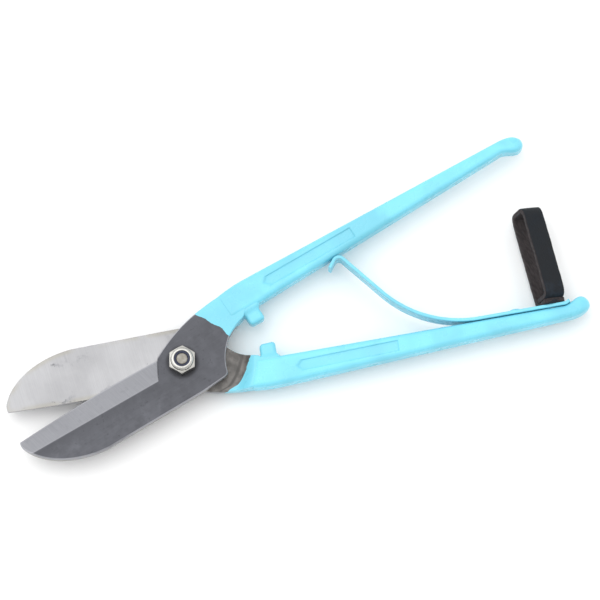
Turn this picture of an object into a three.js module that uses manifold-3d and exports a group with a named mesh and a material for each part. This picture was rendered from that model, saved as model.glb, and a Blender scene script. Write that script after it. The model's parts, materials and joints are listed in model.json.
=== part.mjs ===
// Straight-handled tinner's snips, about 12 inches long: two forged halves on a bolt pivot,
// held open by a riveted leaf spring, with a leather keeper strap that hooks over the closed handles.
//
// Units are millimetres, +Z is up. The snips lie flat, opened as far as the leaf spring pushes them.
// The origin is on the pivot axis, at the underside of the bolt head. +X runs towards the handle ends,
// along the line half way between the handles, and the blades point to -X.
//
// Both halves are the same forging, one turned over on the other, so the forging is drawn once in a
// frame of its own: x from the pivot to the handle end, y away from the other handle, and z from the
// shear plane to the forging's outer face.
import * as THREE from 'three';
import { mergeVertices } from 'three/addons/utils/BufferGeometryUtils.js';
import Module from 'manifold-3d';

const wasm = await Module();
wasm.setup();

const DEGREE = Math.PI / 180;

// ---- driving dimensions ----

// the way the halves stand
const REST_OPENING = 24.5 * DEGREE; // between the two halves' x axes, with the leaf spring relaxed
const SHEAR_GAP = 0.1; // between the two flat blade faces

// blade and head plate
const PLATE_THICKNESS = 5.2;
const BLADE_LENGTH = 93.3; // pivot axis to the nose of the blade
const EDGE_OFFSET = 11.3; // pivot axis to the line of the cutting edge, at the tip
const TIP_DROP = 3.3; // from the corner of the cutting edge down to the nose
const TIP_ROUND = 0.9; // rounding of that corner
const EDGE_BOW = { x: -45, y: 11.9 }; // the cutting edge bows towards this point
const HEEL = { x: -10, y: 8.6 }; // where the cutting edge ends and the head begins
const BELLY = { x: -56, y: -16.9 }; // where the curved back of the blade runs out straight
const HEAD_BACK = 19.3; // pivot axis to the back edge of the head
const HEAD_CORNER = { x: 16.6, radius: 3.2 }; // the head's rear corner
const REAR_EDGE = { x: 19.6, y: -8.6 }; // the head's rear edge curves towards this point
const NECK_INNER = { x: 27.4, y: -2.2 }; // where that edge turns into the neck
const NECK_FILLET = { x: 33, y: 1.2 };
const NECK_OUTER = { x: 36, y: 19.5 }; // the neck's outer edge curves by this point
const HEAD_TOP = { x: 21.5, y: 18 }; // where it meets the head
const HEAD_HOLLOW = { x: 5, y: 16.3 }; // the head's front edge curves towards this point
const BEVEL_HEEL = { x: -16, y: -1.7 }; // upper boundary of the ground bevel, at the heel
const BEVEL_RISE = 3 * DEGREE; // the boundary comes nearer the edge towards the tip
const BEVEL_SLOPE = 23.2 * DEGREE;

// recess that lets the other half's head turn, and the neck beyond it
const RECESS_ROOM = 5; // between the recess wall and the corner of the head that turns in it
const RECESS_WALL = 5; // how far the recess wall runs back over its height
const NECK_RUN = 3.6; // from the recess to where the thick handle begins
const PLATE_ROOT = 10; // how far the head plate runs on inside the handle
const NECK_SHOULDER = 0.7; // the neck's face lies this much below the handle's face

// handle: a bar that tapers from the neck to a knob
const HANDLE_THICKNESS = 11;
const HANDLE_EDGE_RADIUS = 2.6;
const HANDLE_ROOT = { x: 45, outer: 20, inner: 4.5 };
const HANDLE_END = { x: 205, outer: 7.9, inner: 1.35 };
const NECK_BEND = { from: 51, run: 17, drop: 1.7 }; // the outer edge bends in here, towards the neck
const NECK_ROUND = 1.2; // rounding of the bar's face where it starts
const KNOB_RADIUS = 4.5;
const KNOB_RUN = 9.3; // length over which the inner edge drops into the knob
const KNOB_DROP = 5.7; // from the handle's outer line down to the knob's middle
const PANEL = { start: 58, length: 54, width: 5.8, depth: 0.5 }; // plain sunk panel in each face

// stop lug on the inner side of each handle
const LUG = { x: 44.8, width: 8.6, thickness: 8, radius: 1 };
const LUG_CLOSED_ANGLE = 4.6 * DEGREE; // below the forging's x axis, where the two lugs meet

// pivot bolt, nut and locking ring
const BOLT_RADIUS = 4;
const PIVOT_CLEARANCE = 0.1;
const BOLT_HEAD = { across: 13, height: 5.3 };
const SEAT_GAP = 0.1; // bolt head and nut to the plates
const TIP_CHAMFER = 0.9;
const NUT = { across: 13, hex: 5.6, collar: 2.4, collarWall: 0.75 };
const NUT_TURN = -21.35 * DEGREE; // how the nut and the bolt head came to stand when tightened
const RING = { wall: 1.1, lip: 0.3, clearance: 0.15 }; // its lip closes in over the bolt's tip
const MOUTH_ROOM = 0.2; // around the bolt, in the nut's crimped collar

// leaf spring, riveted to the lower handle
const LEAF_THICKNESS = 1.7;
const LEAF_SIDE = 0.3; // the leaf is this much narrower than the handle on each side
const LEAF_SEAT_GAP = 0.3; // leaf to handle, along the tail
const LEAF_TAIL_MARGIN = 6; // from the tail's end to the middle of the knob
const LEAF_TAIL_RUN = 1.3; // the tail stays straight this far past where the knob begins to swell
const LEAF_CONTACT = 97; // where the leaf bears on the upper handle, measured along that handle
const LEAF_CONTACT_GAP = 0.2;
const LEAF_CREST_RADIUS = 3;
const LEAF_ROOT_RADIUS = 60;
const LEAF_CLIMB = 50.5 * DEGREE; // slope of the leaf's straight middle to the lower handle
const LEAF_TOE = { length: 6.5, angle: 55 * DEGREE };
const RIVET = { radius: 2, head: 3.3, headHeight: 1.5, depth: 5, fromKnob: 34.5 };
const RIVET_CLEARANCE = 0.1;

// keeper strap: a leather loop, its two ends lapped and riveted to the tail of the leaf
const LEATHER = 2.6;
const STRAP = { width: 11.2, height: 52.5, fromKnob: 15.2, lean: 4.4 * DEGREE, swivel: 16.3 * DEGREE };
const STRAP_SIDE_ROOM = 1.2; // between the loop and each face of the handle that it slips over
const STRAP_CORNER = 4.5;
const STRAP_SEAT_GAP = 0.1;
const STRAP_RIVET = { radius: 1.6, head: 3.2, headHeight: 0.7, burr: 3.4, burrHeight: 0.9, end: 0.7 };

// ---- sizes that follow ----

const RECESS_RADIUS = Math.hypot(HEAD_CORNER.x, HEAD_BACK) + RECESS_ROOM;
const NECK_START = RECESS_RADIUS + NECK_RUN;
const NECK_END = NECK_START + PLATE_ROOT;
const RING_RADIUS = BOLT_RADIUS + RING.wall;
const COLLAR_RADIUS = RING_RADIUS + RING.clearance + NUT.collarWall;
const SHEAR_Z = BOLT_HEAD.height + SEAT_GAP + PLATE_THICKNESS;
const NUT_Z = SHEAR_Z + PLATE_THICKNESS + SEAT_GAP;
const NUT_HEIGHT = NUT.hex + NUT.collar;
const BOLT_TIP_Z = NUT_Z + NUT_HEIGHT - 0.6;
const HALF_HANDLE = HANDLE_THICKNESS / 2;
const KNOB = { x: HANDLE_END.x + 4.3, y: HANDLE_END.outer - KNOB_DROP };
const KNOB_START = KNOB.x - 6.3; // where the outer edge starts to round over
const LEAF_WIDTH = HANDLE_THICKNESS - 2 * LEAF_SIDE;
const STRAP_DEPTH = HANDLE_THICKNESS + 2 * (STRAP_SIDE_ROOM + LEATHER);
const ROUND = 48; // sides of a full circle
const PIN_ROUND = 24; // the same for the small rivets

// distance from a handle's x axis to its two long edges
function alongHandle(x, from, to) {
  const share = (x - HANDLE_ROOT.x) / (HANDLE_END.x - HANDLE_ROOT.x);
  return from + (to - from) * share;
}
const handleOuter = (x) => alongHandle(x, HANDLE_ROOT.outer, HANDLE_END.outer);
const handleInner = (x) => alongHandle(x, HANDLE_ROOT.inner, HANDLE_END.inner);
const INNER_SLOPE = Math.atan((HANDLE_END.inner - HANDLE_ROOT.inner) / (HANDLE_END.x - HANDLE_ROOT.x));

// ---- joining and cutting ----

function solid(geometry) {
  const bare = geometry.clone();
  bare.deleteAttribute('normal');
  bare.deleteAttribute('uv');
  const merged = mergeVertices(bare, 1e-4);
  return new wasm.Manifold(
    new wasm.Mesh({
      numProp: 3,
      vertProperties: new Float32Array(merged.attributes.position.array),
      triVerts: new Uint32Array(merged.index.array),
    }),
  );
}

function geometryOf(body) {
  const mesh = body.getMesh();
  const geometry = new THREE.BufferGeometry();
  geometry.setAttribute('position', new THREE.BufferAttribute(mesh.vertProperties, 3));
  geometry.setIndex(new THREE.BufferAttribute(mesh.triVerts, 1));
  geometry.computeVertexNormals();
  return geometry;
}

// closed rings of [x, y, z] points, each joined to the next, with a flat fan over each end
function skinned(rings) {
  const count = rings[0].length;
  const mean = (ring, axis) => ring.reduce((sum, point) => sum + point[axis], 0) / count;
  const centre = (ring) => [mean(ring, 0), mean(ring, 1), mean(ring, 2)];
  const positions = [...rings.flat(), centre(rings[0]), centre(rings[rings.length - 1])];
  const first = rings.length * count;
  const index = [];
  for (let side = 0; side < count; side += 1) {
    const next = (side + 1) % count;
    for (let ring = 0; ring < rings.length - 1; ring += 1) {
      const [a, b] = [ring * count + side, ring * count + next];
      index.push(a, b, b + count, a, b + count, a + count);
    }
    const last = first - count;
    index.push(first, next, side, first + 1, last + side, last + next);
  }
  const geometry = new THREE.BufferGeometry();
  geometry.setAttribute('position', new THREE.Float32BufferAttribute(positions.flat(), 3));
  geometry.setIndex(index);
  return geometry;
}

// a flat outline carried from one height to another
function slab(shape, low, high, curveSegments = 16) {
  const geometry = new THREE.ExtrudeGeometry(shape, {
    depth: high - low,
    bevelEnabled: false,
    curveSegments,
  });
  return solid(geometry.translate(0, 0, low));
}

// the same with its edges rounded
function roundedSlab(shape, low, high, radius, curveSegments = 16) {
  const geometry = new THREE.ExtrudeGeometry(shape, {
    depth: high - low - 2 * radius,
    bevelThickness: radius,
    bevelSize: radius,
    bevelOffset: -radius,
    bevelSegments: 4,
    curveSegments,
  });
  return solid(geometry.translate(0, 0, low + radius));
}

// a profile of [radius, height] points turned about Z
function turned(profile, sides = ROUND) {
  const points = profile.map(([radius, height]) => new THREE.Vector2(radius, height));
  return new THREE.LatheGeometry(points, sides).rotateX(Math.PI / 2);
}

// the same, standing on the forging's inner side with its axis along -y, at height zero on the x axis
function turnedInward(profile) {
  return turned(profile, PIN_ROUND).rotateX(Math.PI / 2);
}

function cylinder(radius, low, high) {
  return solid(turned([[0, low], [radius, low], [radius, high], [0, high]]));
}

// ---- the forging ----

// blade, head and neck, seen from the outer face
function plateShape() {
  const shape = new THREE.Shape();
  const tip = -BLADE_LENGTH;
  const nose = tip + TIP_ROUND;
  const belly = BELLY.x - tip;
  const back = -HEAD_BACK;
  const { x: cornerX, radius } = HEAD_CORNER;
  shape.moveTo(nose, EDGE_OFFSET);
  shape.quadraticCurveTo(tip, EDGE_OFFSET, tip, EDGE_OFFSET - TIP_DROP);
  shape.bezierCurveTo(tip + 0.075 * belly, -3.5, BELLY.x - 0.52 * belly, BELLY.y + 2.1, BELLY.x, BELLY.y);
  shape.lineTo(0, back + 0.3);
  shape.lineTo(cornerX - radius, back + 0.6);
  shape.quadraticCurveTo(cornerX, back + 0.6, cornerX + 0.6, back + 3.4);
  shape.quadraticCurveTo(REAR_EDGE.x, REAR_EDGE.y, NECK_INNER.x, NECK_INNER.y);
  shape.quadraticCurveTo(NECK_FILLET.x, NECK_FILLET.y, LUG.x - LUG.width / 2 - 1, HANDLE_ROOT.inner - 1.9);
  shape.lineTo(NECK_END, HANDLE_ROOT.inner + 2);
  shape.lineTo(NECK_END, HANDLE_ROOT.outer - 2);
  shape.quadraticCurveTo(NECK_OUTER.x, NECK_OUTER.y, HEAD_TOP.x, HEAD_TOP.y);
  shape.quadraticCurveTo(HEAD_HOLLOW.x, HEAD_HOLLOW.y, HEEL.x, HEEL.y);
  shape.quadraticCurveTo(EDGE_BOW.x, EDGE_BOW.y, nose, EDGE_OFFSET);
  return shape;
}

// The bar's two long edges, as distances from the x axis. Its outer edge bends in towards the neck and
// rounds over the knob; its inner edge drops into the knob and comes round it.
function barOuter(x) {
  const bend = Math.max(NECK_BEND.from - x, 0) / NECK_BEND.run;
  const line = handleOuter(x) - NECK_BEND.drop * bend ** 2;
  const round = Math.max(x - KNOB_START, 0) / (KNOB.x + KNOB_RADIUS - KNOB_START);
  return KNOB.y + (line - KNOB.y) * Math.sqrt(Math.max(1 - round ** 2, 0));
}

function barInner(x) {
  const past = Math.max(x - KNOB.x, 0) / KNOB_RADIUS;
  const low = KNOB.y - KNOB_RADIUS * Math.sqrt(Math.max(1 - past ** 2, 0));
  return THREE.MathUtils.lerp(handleInner(x), low, THREE.MathUtils.smoothstep(x, KNOB.x - KNOB_RUN, KNOB.x));
}

// the bar's half thickness is full along its length and rounds over at both ends
function barHalfThickness(x) {
  const past = Math.max(x - KNOB.x + 1, 0) / (KNOB_RADIUS + 1);
  const before = Math.max(NECK_START + NECK_ROUND - x, 0) / NECK_ROUND;
  const quarter = (share) => Math.sqrt(Math.max(1 - share ** 2, 0));
  return HALF_HANDLE * quarter(past) - NECK_ROUND * (1 - quarter(before));
}

// the places along the bar that get a ring, closer together where it rounds over
function barStations() {
  const places = [NECK_START];
  const run = (to, count, share) => {
    const from = places[places.length - 1];
    for (let step = 1; step <= count; step += 1) {
      places.push(from + (to - from) * share(step / count));
    }
  };
  const even = (part) => part;
  run(NECK_START + NECK_ROUND, 4, (part) => 1 - Math.cos((part * Math.PI) / 2));
  run(NECK_BEND.from, 5, even);
  run(KNOB_START - 4, 6, even);
  run(KNOB.x + KNOB_RADIUS - 0.05, 12, (part) => Math.sin((part * Math.PI) / 2));
  return places;
}

// rings of a round-cornered rectangle, skinned from the neck to the knob and closed at both ends
function handleBar() {
  const corners = [[1, 1], [-1, 1], [-1, -1], [1, -1]];
  const cornerSteps = 4;
  const rings = barStations().map((x) => {
    const middle = (barOuter(x) + barInner(x)) / 2;
    const tall = (barOuter(x) - barInner(x)) / 2;
    const thick = barHalfThickness(x);
    const radius = Math.min(HANDLE_EDGE_RADIUS, 0.9 * tall, 0.9 * thick);
    return corners.flatMap(([sideY, sideZ], corner) =>
      Array.from({ length: cornerSteps + 1 }, (_, step) => {
        const angle = (corner + step / cornerSteps) * (Math.PI / 2);
        const y = middle + sideY * (tall - radius) + radius * Math.cos(angle);
        return [x, y, sideZ * (thick - radius) + radius * Math.sin(angle)];
      }),
    );
  });
  return skinned(rings);
}

// the lug's end face points at the pivot, so that the two lugs meet flat
function lugShape() {
  const near = LUG.x - LUG.width / 2;
  const far = LUG.x + LUG.width / 2;
  const fall = Math.tan(LUG_CLOSED_ANGLE);
  const shape = new THREE.Shape();
  shape.moveTo(near, HANDLE_ROOT.inner + 4);
  shape.lineTo(near, -near * fall);
  shape.lineTo(far, -far * fall);
  shape.lineTo(far, HANDLE_ROOT.inner + 4);
  return shape;
}

function panelShape() {
  const end = PANEL.start + PANEL.length;
  const middle = (x) => (handleOuter(x) + handleInner(x)) / 2;
  const half = PANEL.width / 2;
  const shape = new THREE.Shape();
  shape.moveTo(PANEL.start, middle(PANEL.start));
  shape.lineTo(PANEL.start + half, middle(PANEL.start + half) - half);
  shape.lineTo(end, middle(end) - half);
  shape.lineTo(end, middle(end) + half);
  shape.lineTo(PANEL.start + half, middle(PANEL.start + half) + half);
  return shape;
}

// everything above the bevel's sloping face, between the heel and the tip
function bevelWaste() {
  const beyond = BLADE_LENGTH + 20;
  const plan = new THREE.Shape();
  plan.moveTo(BEVEL_HEEL.x, BEVEL_HEEL.y);
  plan.lineTo(HEEL.x, HEEL.y);
  plan.lineTo(HEEL.x, HEEL.y + 20);
  plan.lineTo(-beyond, HEEL.y + 20);
  plan.lineTo(-beyond, BEVEL_HEEL.y + (beyond + BEVEL_HEEL.x) * Math.tan(BEVEL_RISE));
  const above = new THREE.BoxGeometry(4 * beyond, 80, 40);
  above.translate(0, 40, 20);
  above.rotateX(-BEVEL_SLOPE);
  above.rotateZ(-BEVEL_RISE);
  above.translate(BEVEL_HEEL.x, BEVEL_HEEL.y, PLATE_THICKNESS);
  return slab(plan, -1, 2 * PLATE_THICKNESS).intersect(solid(above));
}

// what is cleared away on the shear side, so that the other half's plate can turn there
function shearWaste() {
  const floor = SHEAR_GAP / 2;
  const deep = -HALF_HANDLE - 1;
  const recess = turned([
    [0, deep],
    [RECESS_RADIUS + RECESS_WALL, deep],
    [RECESS_RADIUS + RECESS_WALL, -HALF_HANDLE],
    [RECESS_RADIUS, floor],
    [0, floor],
  ]);
  const blade = new THREE.BoxGeometry(2 * BLADE_LENGTH, 200, floor - deep);
  blade.translate(-BLADE_LENGTH, 0, (floor + deep) / 2);
  return solid(recess).add(solid(blade));
}

function forging() {
  const neckFace = HALF_HANDLE - NECK_SHOULDER;
  const lug = roundedSlab(lugShape(), -LUG.thickness / 2, LUG.thickness / 2, LUG.radius);
  const panel = slab(panelShape(), HALF_HANDLE - PANEL.depth, HALF_HANDLE + 1);
  return slab(plateShape(), -neckFace, PLATE_THICKNESS)
    .subtract(bevelWaste())
    .add(solid(handleBar()))
    .subtract(shearWaste())
    .add(lug)
    .subtract(panel)
    .subtract(panel.mirror([0, 0, 1]))
    .subtract(cylinder(BOLT_RADIUS + PIVOT_CLEARANCE, -1, PLATE_THICKNESS + 1));
}

// ---- what is fixed to the rear half, in the same frame ----

// Tail of the leaf: how far its middle line lies from the x axis, towards the other handle. What is
// fixed to the tail is drawn from a point of that line, with heights measured away from the handle.
const tailLift = LEAF_SEAT_GAP + LEAF_THICKNESS / 2;
const leafTail = (x) => -handleInner(x) + tailLift / Math.cos(INNER_SLOPE);
const onTail = (x) => new THREE.Matrix4().makeRotationZ(INNER_SLOPE).setPosition(x, -leafTail(x), 0);
const rivetX = KNOB.x - RIVET.fromKnob;
const strapX = KNOB.x - STRAP.fromKnob;
const strapSeat = LEAF_THICKNESS / 2 + STRAP_SEAT_GAP;
const burrSeat = strapSeat + 2 * LEATHER + 0.1;

function tailHole(x, radius, low, high) {
  return solid(turnedInward([[0, low], [radius, low], [radius, high], [0, high]]).applyMatrix4(onTail(x)));
}

function rivetHoles() {
  const blind = -tailLift - RIVET.depth - 0.3;
  const pocket = -LEAF_THICKNESS / 2 - STRAP_RIVET.headHeight - 0.4;
  return tailHole(rivetX, RIVET.radius + RIVET_CLEARANCE, blind, 5).add(
    tailHole(strapX, STRAP_RIVET.head + 0.3, pocket, 5),
  );
}

// The leaf's middle line, from toe to tail. (u, v) are the forging's x and -y. The crest is an arc that
// bears on the other handle, and the root is an arc between the straight climb and the tail.
function leafPath() {
  const face = new THREE.Vector2(LEAF_CONTACT, handleInner(LEAF_CONTACT));
  face.rotateAround(new THREE.Vector2(), REST_OPENING);
  const faceAngle = REST_OPENING + INNER_SLOPE;
  const reach = LEAF_CREST_RADIUS + LEAF_THICKNESS / 2 + LEAF_CONTACT_GAP;
  const crest = new THREE.Vector2(Math.sin(faceAngle), -Math.cos(faceAngle)).multiplyScalar(reach).add(face);

  const climbStart = Math.PI / 2 - LEAF_CLIMB;
  const toeStart = Math.PI / 2 + LEAF_TOE.angle;
  const onCrest = (angle) =>
    new THREE.Vector2(Math.cos(angle), Math.sin(angle)).multiplyScalar(LEAF_CREST_RADIUS).add(crest);
  const down = new THREE.Vector2(Math.cos(LEAF_CLIMB), -Math.sin(LEAF_CLIMB));
  const start = onCrest(climbStart);

  // corner between the climb and the tail line, and the arc that rounds it
  const tailSlope = -Math.tan(INNER_SLOPE);
  const run = (start.y - leafTail(start.x)) / (tailSlope * down.x - down.y);
  const corner = down.clone().multiplyScalar(run).add(start);
  const turn = LEAF_CLIMB + Math.atan(tailSlope);
  const tangent = LEAF_ROOT_RADIUS * Math.tan(turn / 2);
  const arcStart = corner.clone().addScaledVector(down, -tangent);
  const middle = new THREE.Vector2(-down.y, down.x).multiplyScalar(LEAF_ROOT_RADIUS).add(arcStart);

  const points = [];
  const toe = onCrest(toeStart);
  const toeDown = new THREE.Vector2(-Math.sin(toeStart), Math.cos(toeStart));
  points.push(toe.clone().addScaledVector(toeDown, LEAF_TOE.length));
  for (let step = 0; step <= 12; step += 1) {
    points.push(onCrest(toeStart + ((climbStart - toeStart) * step) / 12));
  }
  for (let step = 0; step <= 12; step += 1) {
    const angle = -Math.PI / 2 - LEAF_CLIMB + (turn * step) / 12;
    const spoke = new THREE.Vector2(Math.cos(angle), Math.sin(angle));
    points.push(spoke.multiplyScalar(LEAF_ROOT_RADIUS).add(middle));
  }
  // the tail's tip turns up where the handle swells into its knob
  const tailTurn = KNOB.x - KNOB_RUN + LEAF_TAIL_RUN;
  const tailEnd = KNOB.x - LEAF_TAIL_MARGIN;
  points.push(new THREE.Vector2(tailTurn, leafTail(tailTurn)));
  points.push(new THREE.Vector2(tailEnd, LEAF_SEAT_GAP + tailLift - barInner(tailEnd)));
  return points;
}

// a band of even thickness about a line of points
function bandShape(points, thickness) {
  const normals = points.map((point, index) => {
    const before = points[Math.max(index - 1, 0)];
    const after = points[Math.min(index + 1, points.length - 1)];
    const along = after.clone().sub(before).normalize();
    return new THREE.Vector2(-along.y, along.x);
  });
  const side = (sign) => points.map((p, i) => p.clone().addScaledVector(normals[i], (sign * thickness) / 2));
  return new THREE.Shape([...side(1), ...side(-1).reverse()]);
}

function leafSpring() {
  const path = leafPath().map((point) => new THREE.Vector2(point.x, -point.y));
  const strip = slab(bandShape(path, LEAF_THICKNESS), -LEAF_WIDTH / 2, LEAF_WIDTH / 2);
  return strip
    .subtract(tailHole(rivetX, RIVET.radius + RIVET_CLEARANCE, -5, 5))
    .subtract(tailHole(strapX, STRAP_RIVET.radius + RIVET_CLEARANCE, -5, 5));
}

function leafRivet() {
  const seat = LEAF_THICKNESS / 2 + 0.1;
  const foot = -tailLift - RIVET.depth;
  const rim = 0.3;
  const dome = [];
  for (let step = 0; step < 6; step += 1) {
    const angle = (step / 6) * (Math.PI / 2);
    dome.push([RIVET.head * Math.cos(angle), seat + rim + (RIVET.headHeight - rim) * Math.sin(angle)]);
  }
  dome.push([0, seat + RIVET.headHeight]);
  return turnedInward([[0, foot], [RIVET.radius, foot], [RIVET.radius, seat], [RIVET.head, seat], ...dome]);
}

// The loop stands on the leaf, leaning towards the blades and swivelled about its rivet.
function keeperStrap() {
  const foot = 2 * LEATHER; // both ends of the strip lie here, one on the other
  const outer = roundedRectangle(STRAP_DEPTH, STRAP.height, STRAP_CORNER, 0);
  const holeHeight = STRAP.height - LEATHER - foot;
  outer.holes.push(roundedRectangle(STRAP_DEPTH - 2 * LEATHER, holeHeight, STRAP_CORNER - LEATHER, foot));
  const geometry = new THREE.ExtrudeGeometry(outer, { depth: STRAP.width, steps: 2, bevelEnabled: false });
  // lay the outline's height along -y, its depth along z and its width along x
  geometry.translate(0, 0, -STRAP.width / 2).rotateY(Math.PI / 2).rotateX(Math.PI);
  const bore = STRAP_RIVET.radius + RIVET_CLEARANCE;
  const rivetHole = turnedInward([[0, -5], [bore, -5], [bore, foot + 2], [0, foot + 2]]);
  const loop = geometryOf(solid(geometry).subtract(solid(rivetHole)));
  const position = loop.attributes.position;
  const [c, s] = [Math.cos(STRAP.swivel), Math.sin(STRAP.swivel)];
  for (let i = 0; i < position.count; i += 1) {
    const rise = -position.getY(i);
    const [x, z] = [position.getX(i), position.getZ(i)];
    const shift = Math.max(rise - foot, 0) * Math.tan(STRAP.lean);
    position.setX(i, x * c - z * s - shift);
    position.setZ(i, x * s + z * c);
  }
  return loop.translate(0, -strapSeat, 0);
}

// a rectangle with round corners, its height in even steps, standing on the line y = foot
function roundedRectangle(width, height, radius, foot) {
  const half = width / 2;
  const points = [];
  const corner = (x, y, from) => {
    for (let step = 0; step <= 5; step += 1) {
      const angle = from + (step / 5) * (Math.PI / 2);
      points.push(new THREE.Vector2(x + radius * Math.cos(angle), y + radius * Math.sin(angle)));
    }
  };
  const side = (x, low, high) => {
    for (let step = 1; step < 8; step += 1) {
      points.push(new THREE.Vector2(x, low + ((high - low) * step) / 8));
    }
  };
  const low = foot + radius;
  const high = foot + height - radius;
  side(half, low, high);
  corner(half - radius, high, 0);
  corner(-half + radius, high, Math.PI / 2);
  side(-half, high, low);
  corner(-half + radius, low, Math.PI);
  corner(half - radius, low, -Math.PI / 2);
  return new THREE.Shape(points);
}

function strapRivet() {
  const headTop = -LEAF_THICKNESS / 2 - 0.1;
  const headFoot = headTop - STRAP_RIVET.headHeight;
  const end = burrSeat + STRAP_RIVET.burrHeight + STRAP_RIVET.end;
  const { radius, head } = STRAP_RIVET;
  const profile = [[0, headFoot], [head, headFoot], [head, headTop], [radius, headTop]];
  return turnedInward([...profile, [radius, end - 0.4], [radius - 0.4, end], [0, end]]);
}

function strapBurr() {
  const { burr, radius, burrHeight } = STRAP_RIVET;
  const bore = radius + RIVET_CLEARANCE;
  const top = burrSeat + burrHeight;
  const rim = [[burr, burrSeat], [burr, top - 0.4], [burr - 0.6, top]];
  return turnedInward([[bore, burrSeat], ...rim, [bore, top], [bore, burrSeat]]);
}

// ---- bolt, nut and ring, on the pivot axis ----

function hexagon(across) {
  const corners = [];
  for (let corner = 0; corner < 6; corner += 1) {
    const angle = (corner + 0.5) * 60 * DEGREE + NUT_TURN;
    corners.push(new THREE.Vector2(Math.cos(angle), Math.sin(angle)).multiplyScalar(across / Math.sqrt(3)));
  }
  return new THREE.Shape(corners);
}

// a hexagon prism whose corners are turned off on the faces that ask for it
function hexBody(across, low, high, turnLow, turnHigh) {
  const wide = across / Math.sqrt(3) + 0.1;
  const face = across / 2 - 0.2;
  const fall = (wide - face) * Math.tan(30 * DEGREE);
  const profile = [[0, low]];
  profile.push(...(turnLow ? [[face, low], [wide, low + fall]] : [[wide, low]]));
  profile.push(...(turnHigh ? [[wide, high - fall], [face, high]] : [[wide, high]]));
  profile.push([0, high]);
  return slab(hexagon(across), low, high).intersect(solid(turned(profile)));
}

function pivotBolt() {
  const head = hexBody(BOLT_HEAD.across, 0, BOLT_HEAD.height, true, false);
  const shank = turned([
    [0, BOLT_HEAD.height - 1],
    [BOLT_RADIUS, BOLT_HEAD.height - 1],
    [BOLT_RADIUS, BOLT_TIP_Z - TIP_CHAMFER],
    [BOLT_RADIUS - TIP_CHAMFER, BOLT_TIP_Z],
    [0, BOLT_TIP_Z],
  ]);
  return head.add(solid(shank));
}

const nutTop = NUT_Z + NUT_HEIGHT;
const pocketFloor = NUT_Z + NUT.hex - 0.2;
const pocketTop = nutTop - 0.5;

function pivotNut() {
  const collar = turned([
    [0, NUT_Z + NUT.hex - 1],
    [COLLAR_RADIUS, NUT_Z + NUT.hex - 1],
    [COLLAR_RADIUS, nutTop - 1.4],
    [COLLAR_RADIUS - 0.5, nutTop - 0.5],
    [COLLAR_RADIUS - 1.3, nutTop],
    [0, nutTop],
  ]);
  const pocket = cylinder(RING_RADIUS + RING.clearance, pocketFloor, pocketTop);
  return hexBody(NUT.across, NUT_Z, NUT_Z + NUT.hex, true, true)
    .add(solid(collar))
    .subtract(pocket)
    .subtract(cylinder(BOLT_RADIUS + MOUTH_ROOM, pocketTop - 0.5, nutTop + 1))
    .subtract(cylinder(BOLT_RADIUS + PIVOT_CLEARANCE, NUT_Z - 1, pocketFloor + 0.5));
}

function nutLockRing() {
  const low = pocketFloor + RING.clearance;
  const high = pocketTop - RING.clearance;
  const bore = BOLT_RADIUS + RING.clearance;
  const lip = BOLT_RADIUS - RING.lip;
  return turned([
    [bore, low],
    [RING_RADIUS, low],
    [RING_RADIUS, high],
    [lip, high],
    [lip, high - 0.3],
    [bore, high - 0.3 - (bore - lip)],
    [bore, low],
  ]);
}

// ---- materials ----

function finish(color, roughness, metalness) {
  return new THREE.MeshStandardMaterial({ color, roughness, metalness });
}
const skyBluePaint = finish(0x84e6fa, 0.35, 0.1);
const zincPlate = finish(0xc9c6bd, 0.35, 0.9);
const navyNylon = finish(0x141c2e, 0.5, 0);
const blackLeather = finish(0x25282e, 0.7, 0);

// ---- assembly ----

const group = new THREE.Group();

function add(parent, name, shape, material) {
  const geometry = shape.isBufferGeometry ? shape : geometryOf(shape);
  const mesh = new THREE.Mesh(geometry, material);
  mesh.name = name;
  parent.add(mesh);
  return mesh;
}

const front = new THREE.Group();
front.position.z = SHEAR_Z;
front.rotation.z = REST_OPENING / 2;
group.add(front);
add(front, 'front_half', forging(), skyBluePaint);

// the same forging, opened as far and then turned over
const rear = new THREE.Group();
rear.position.z = SHEAR_Z;
rear.rotation.set(Math.PI, 0, REST_OPENING / 2);
group.add(rear);
add(rear, 'rear_half', forging().subtract(rivetHoles()), skyBluePaint);
add(rear, 'leaf_spring', leafSpring(), skyBluePaint);

const rivetSeat = new THREE.Group();
rivetSeat.applyMatrix4(onTail(rivetX));
rear.add(rivetSeat);
add(rivetSeat, 'leaf_rivet', leafRivet(), skyBluePaint);

const strapFoot = new THREE.Group();
strapFoot.applyMatrix4(onTail(strapX));
rear.add(strapFoot);
add(strapFoot, 'keeper_strap', keeperStrap(), blackLeather);
add(strapFoot, 'strap_rivet', strapRivet(), zincPlate);
add(strapFoot, 'strap_burr', strapBurr(), zincPlate);

add(group, 'pivot_bolt', pivotBolt(), zincPlate);
add(group, 'pivot_nut', pivotNut(), zincPlate);
add(group, 'nut_lock_ring', nutLockRing(), navyNylon);

export default group;
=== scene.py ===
"""Looks of the straight-handled tinner's snips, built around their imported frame.

Laid out as an add-on and run as a script. Lengths are worked out in millimetres and written in
metres. Most shapes are drawn in the forging's own frame: x from the pivot to the handle end, y away
from the other handle, z from the shear plane to the forging's outer face. Both halves are the same
forging, the rear one turned over.
"""

import json
import math

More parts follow.
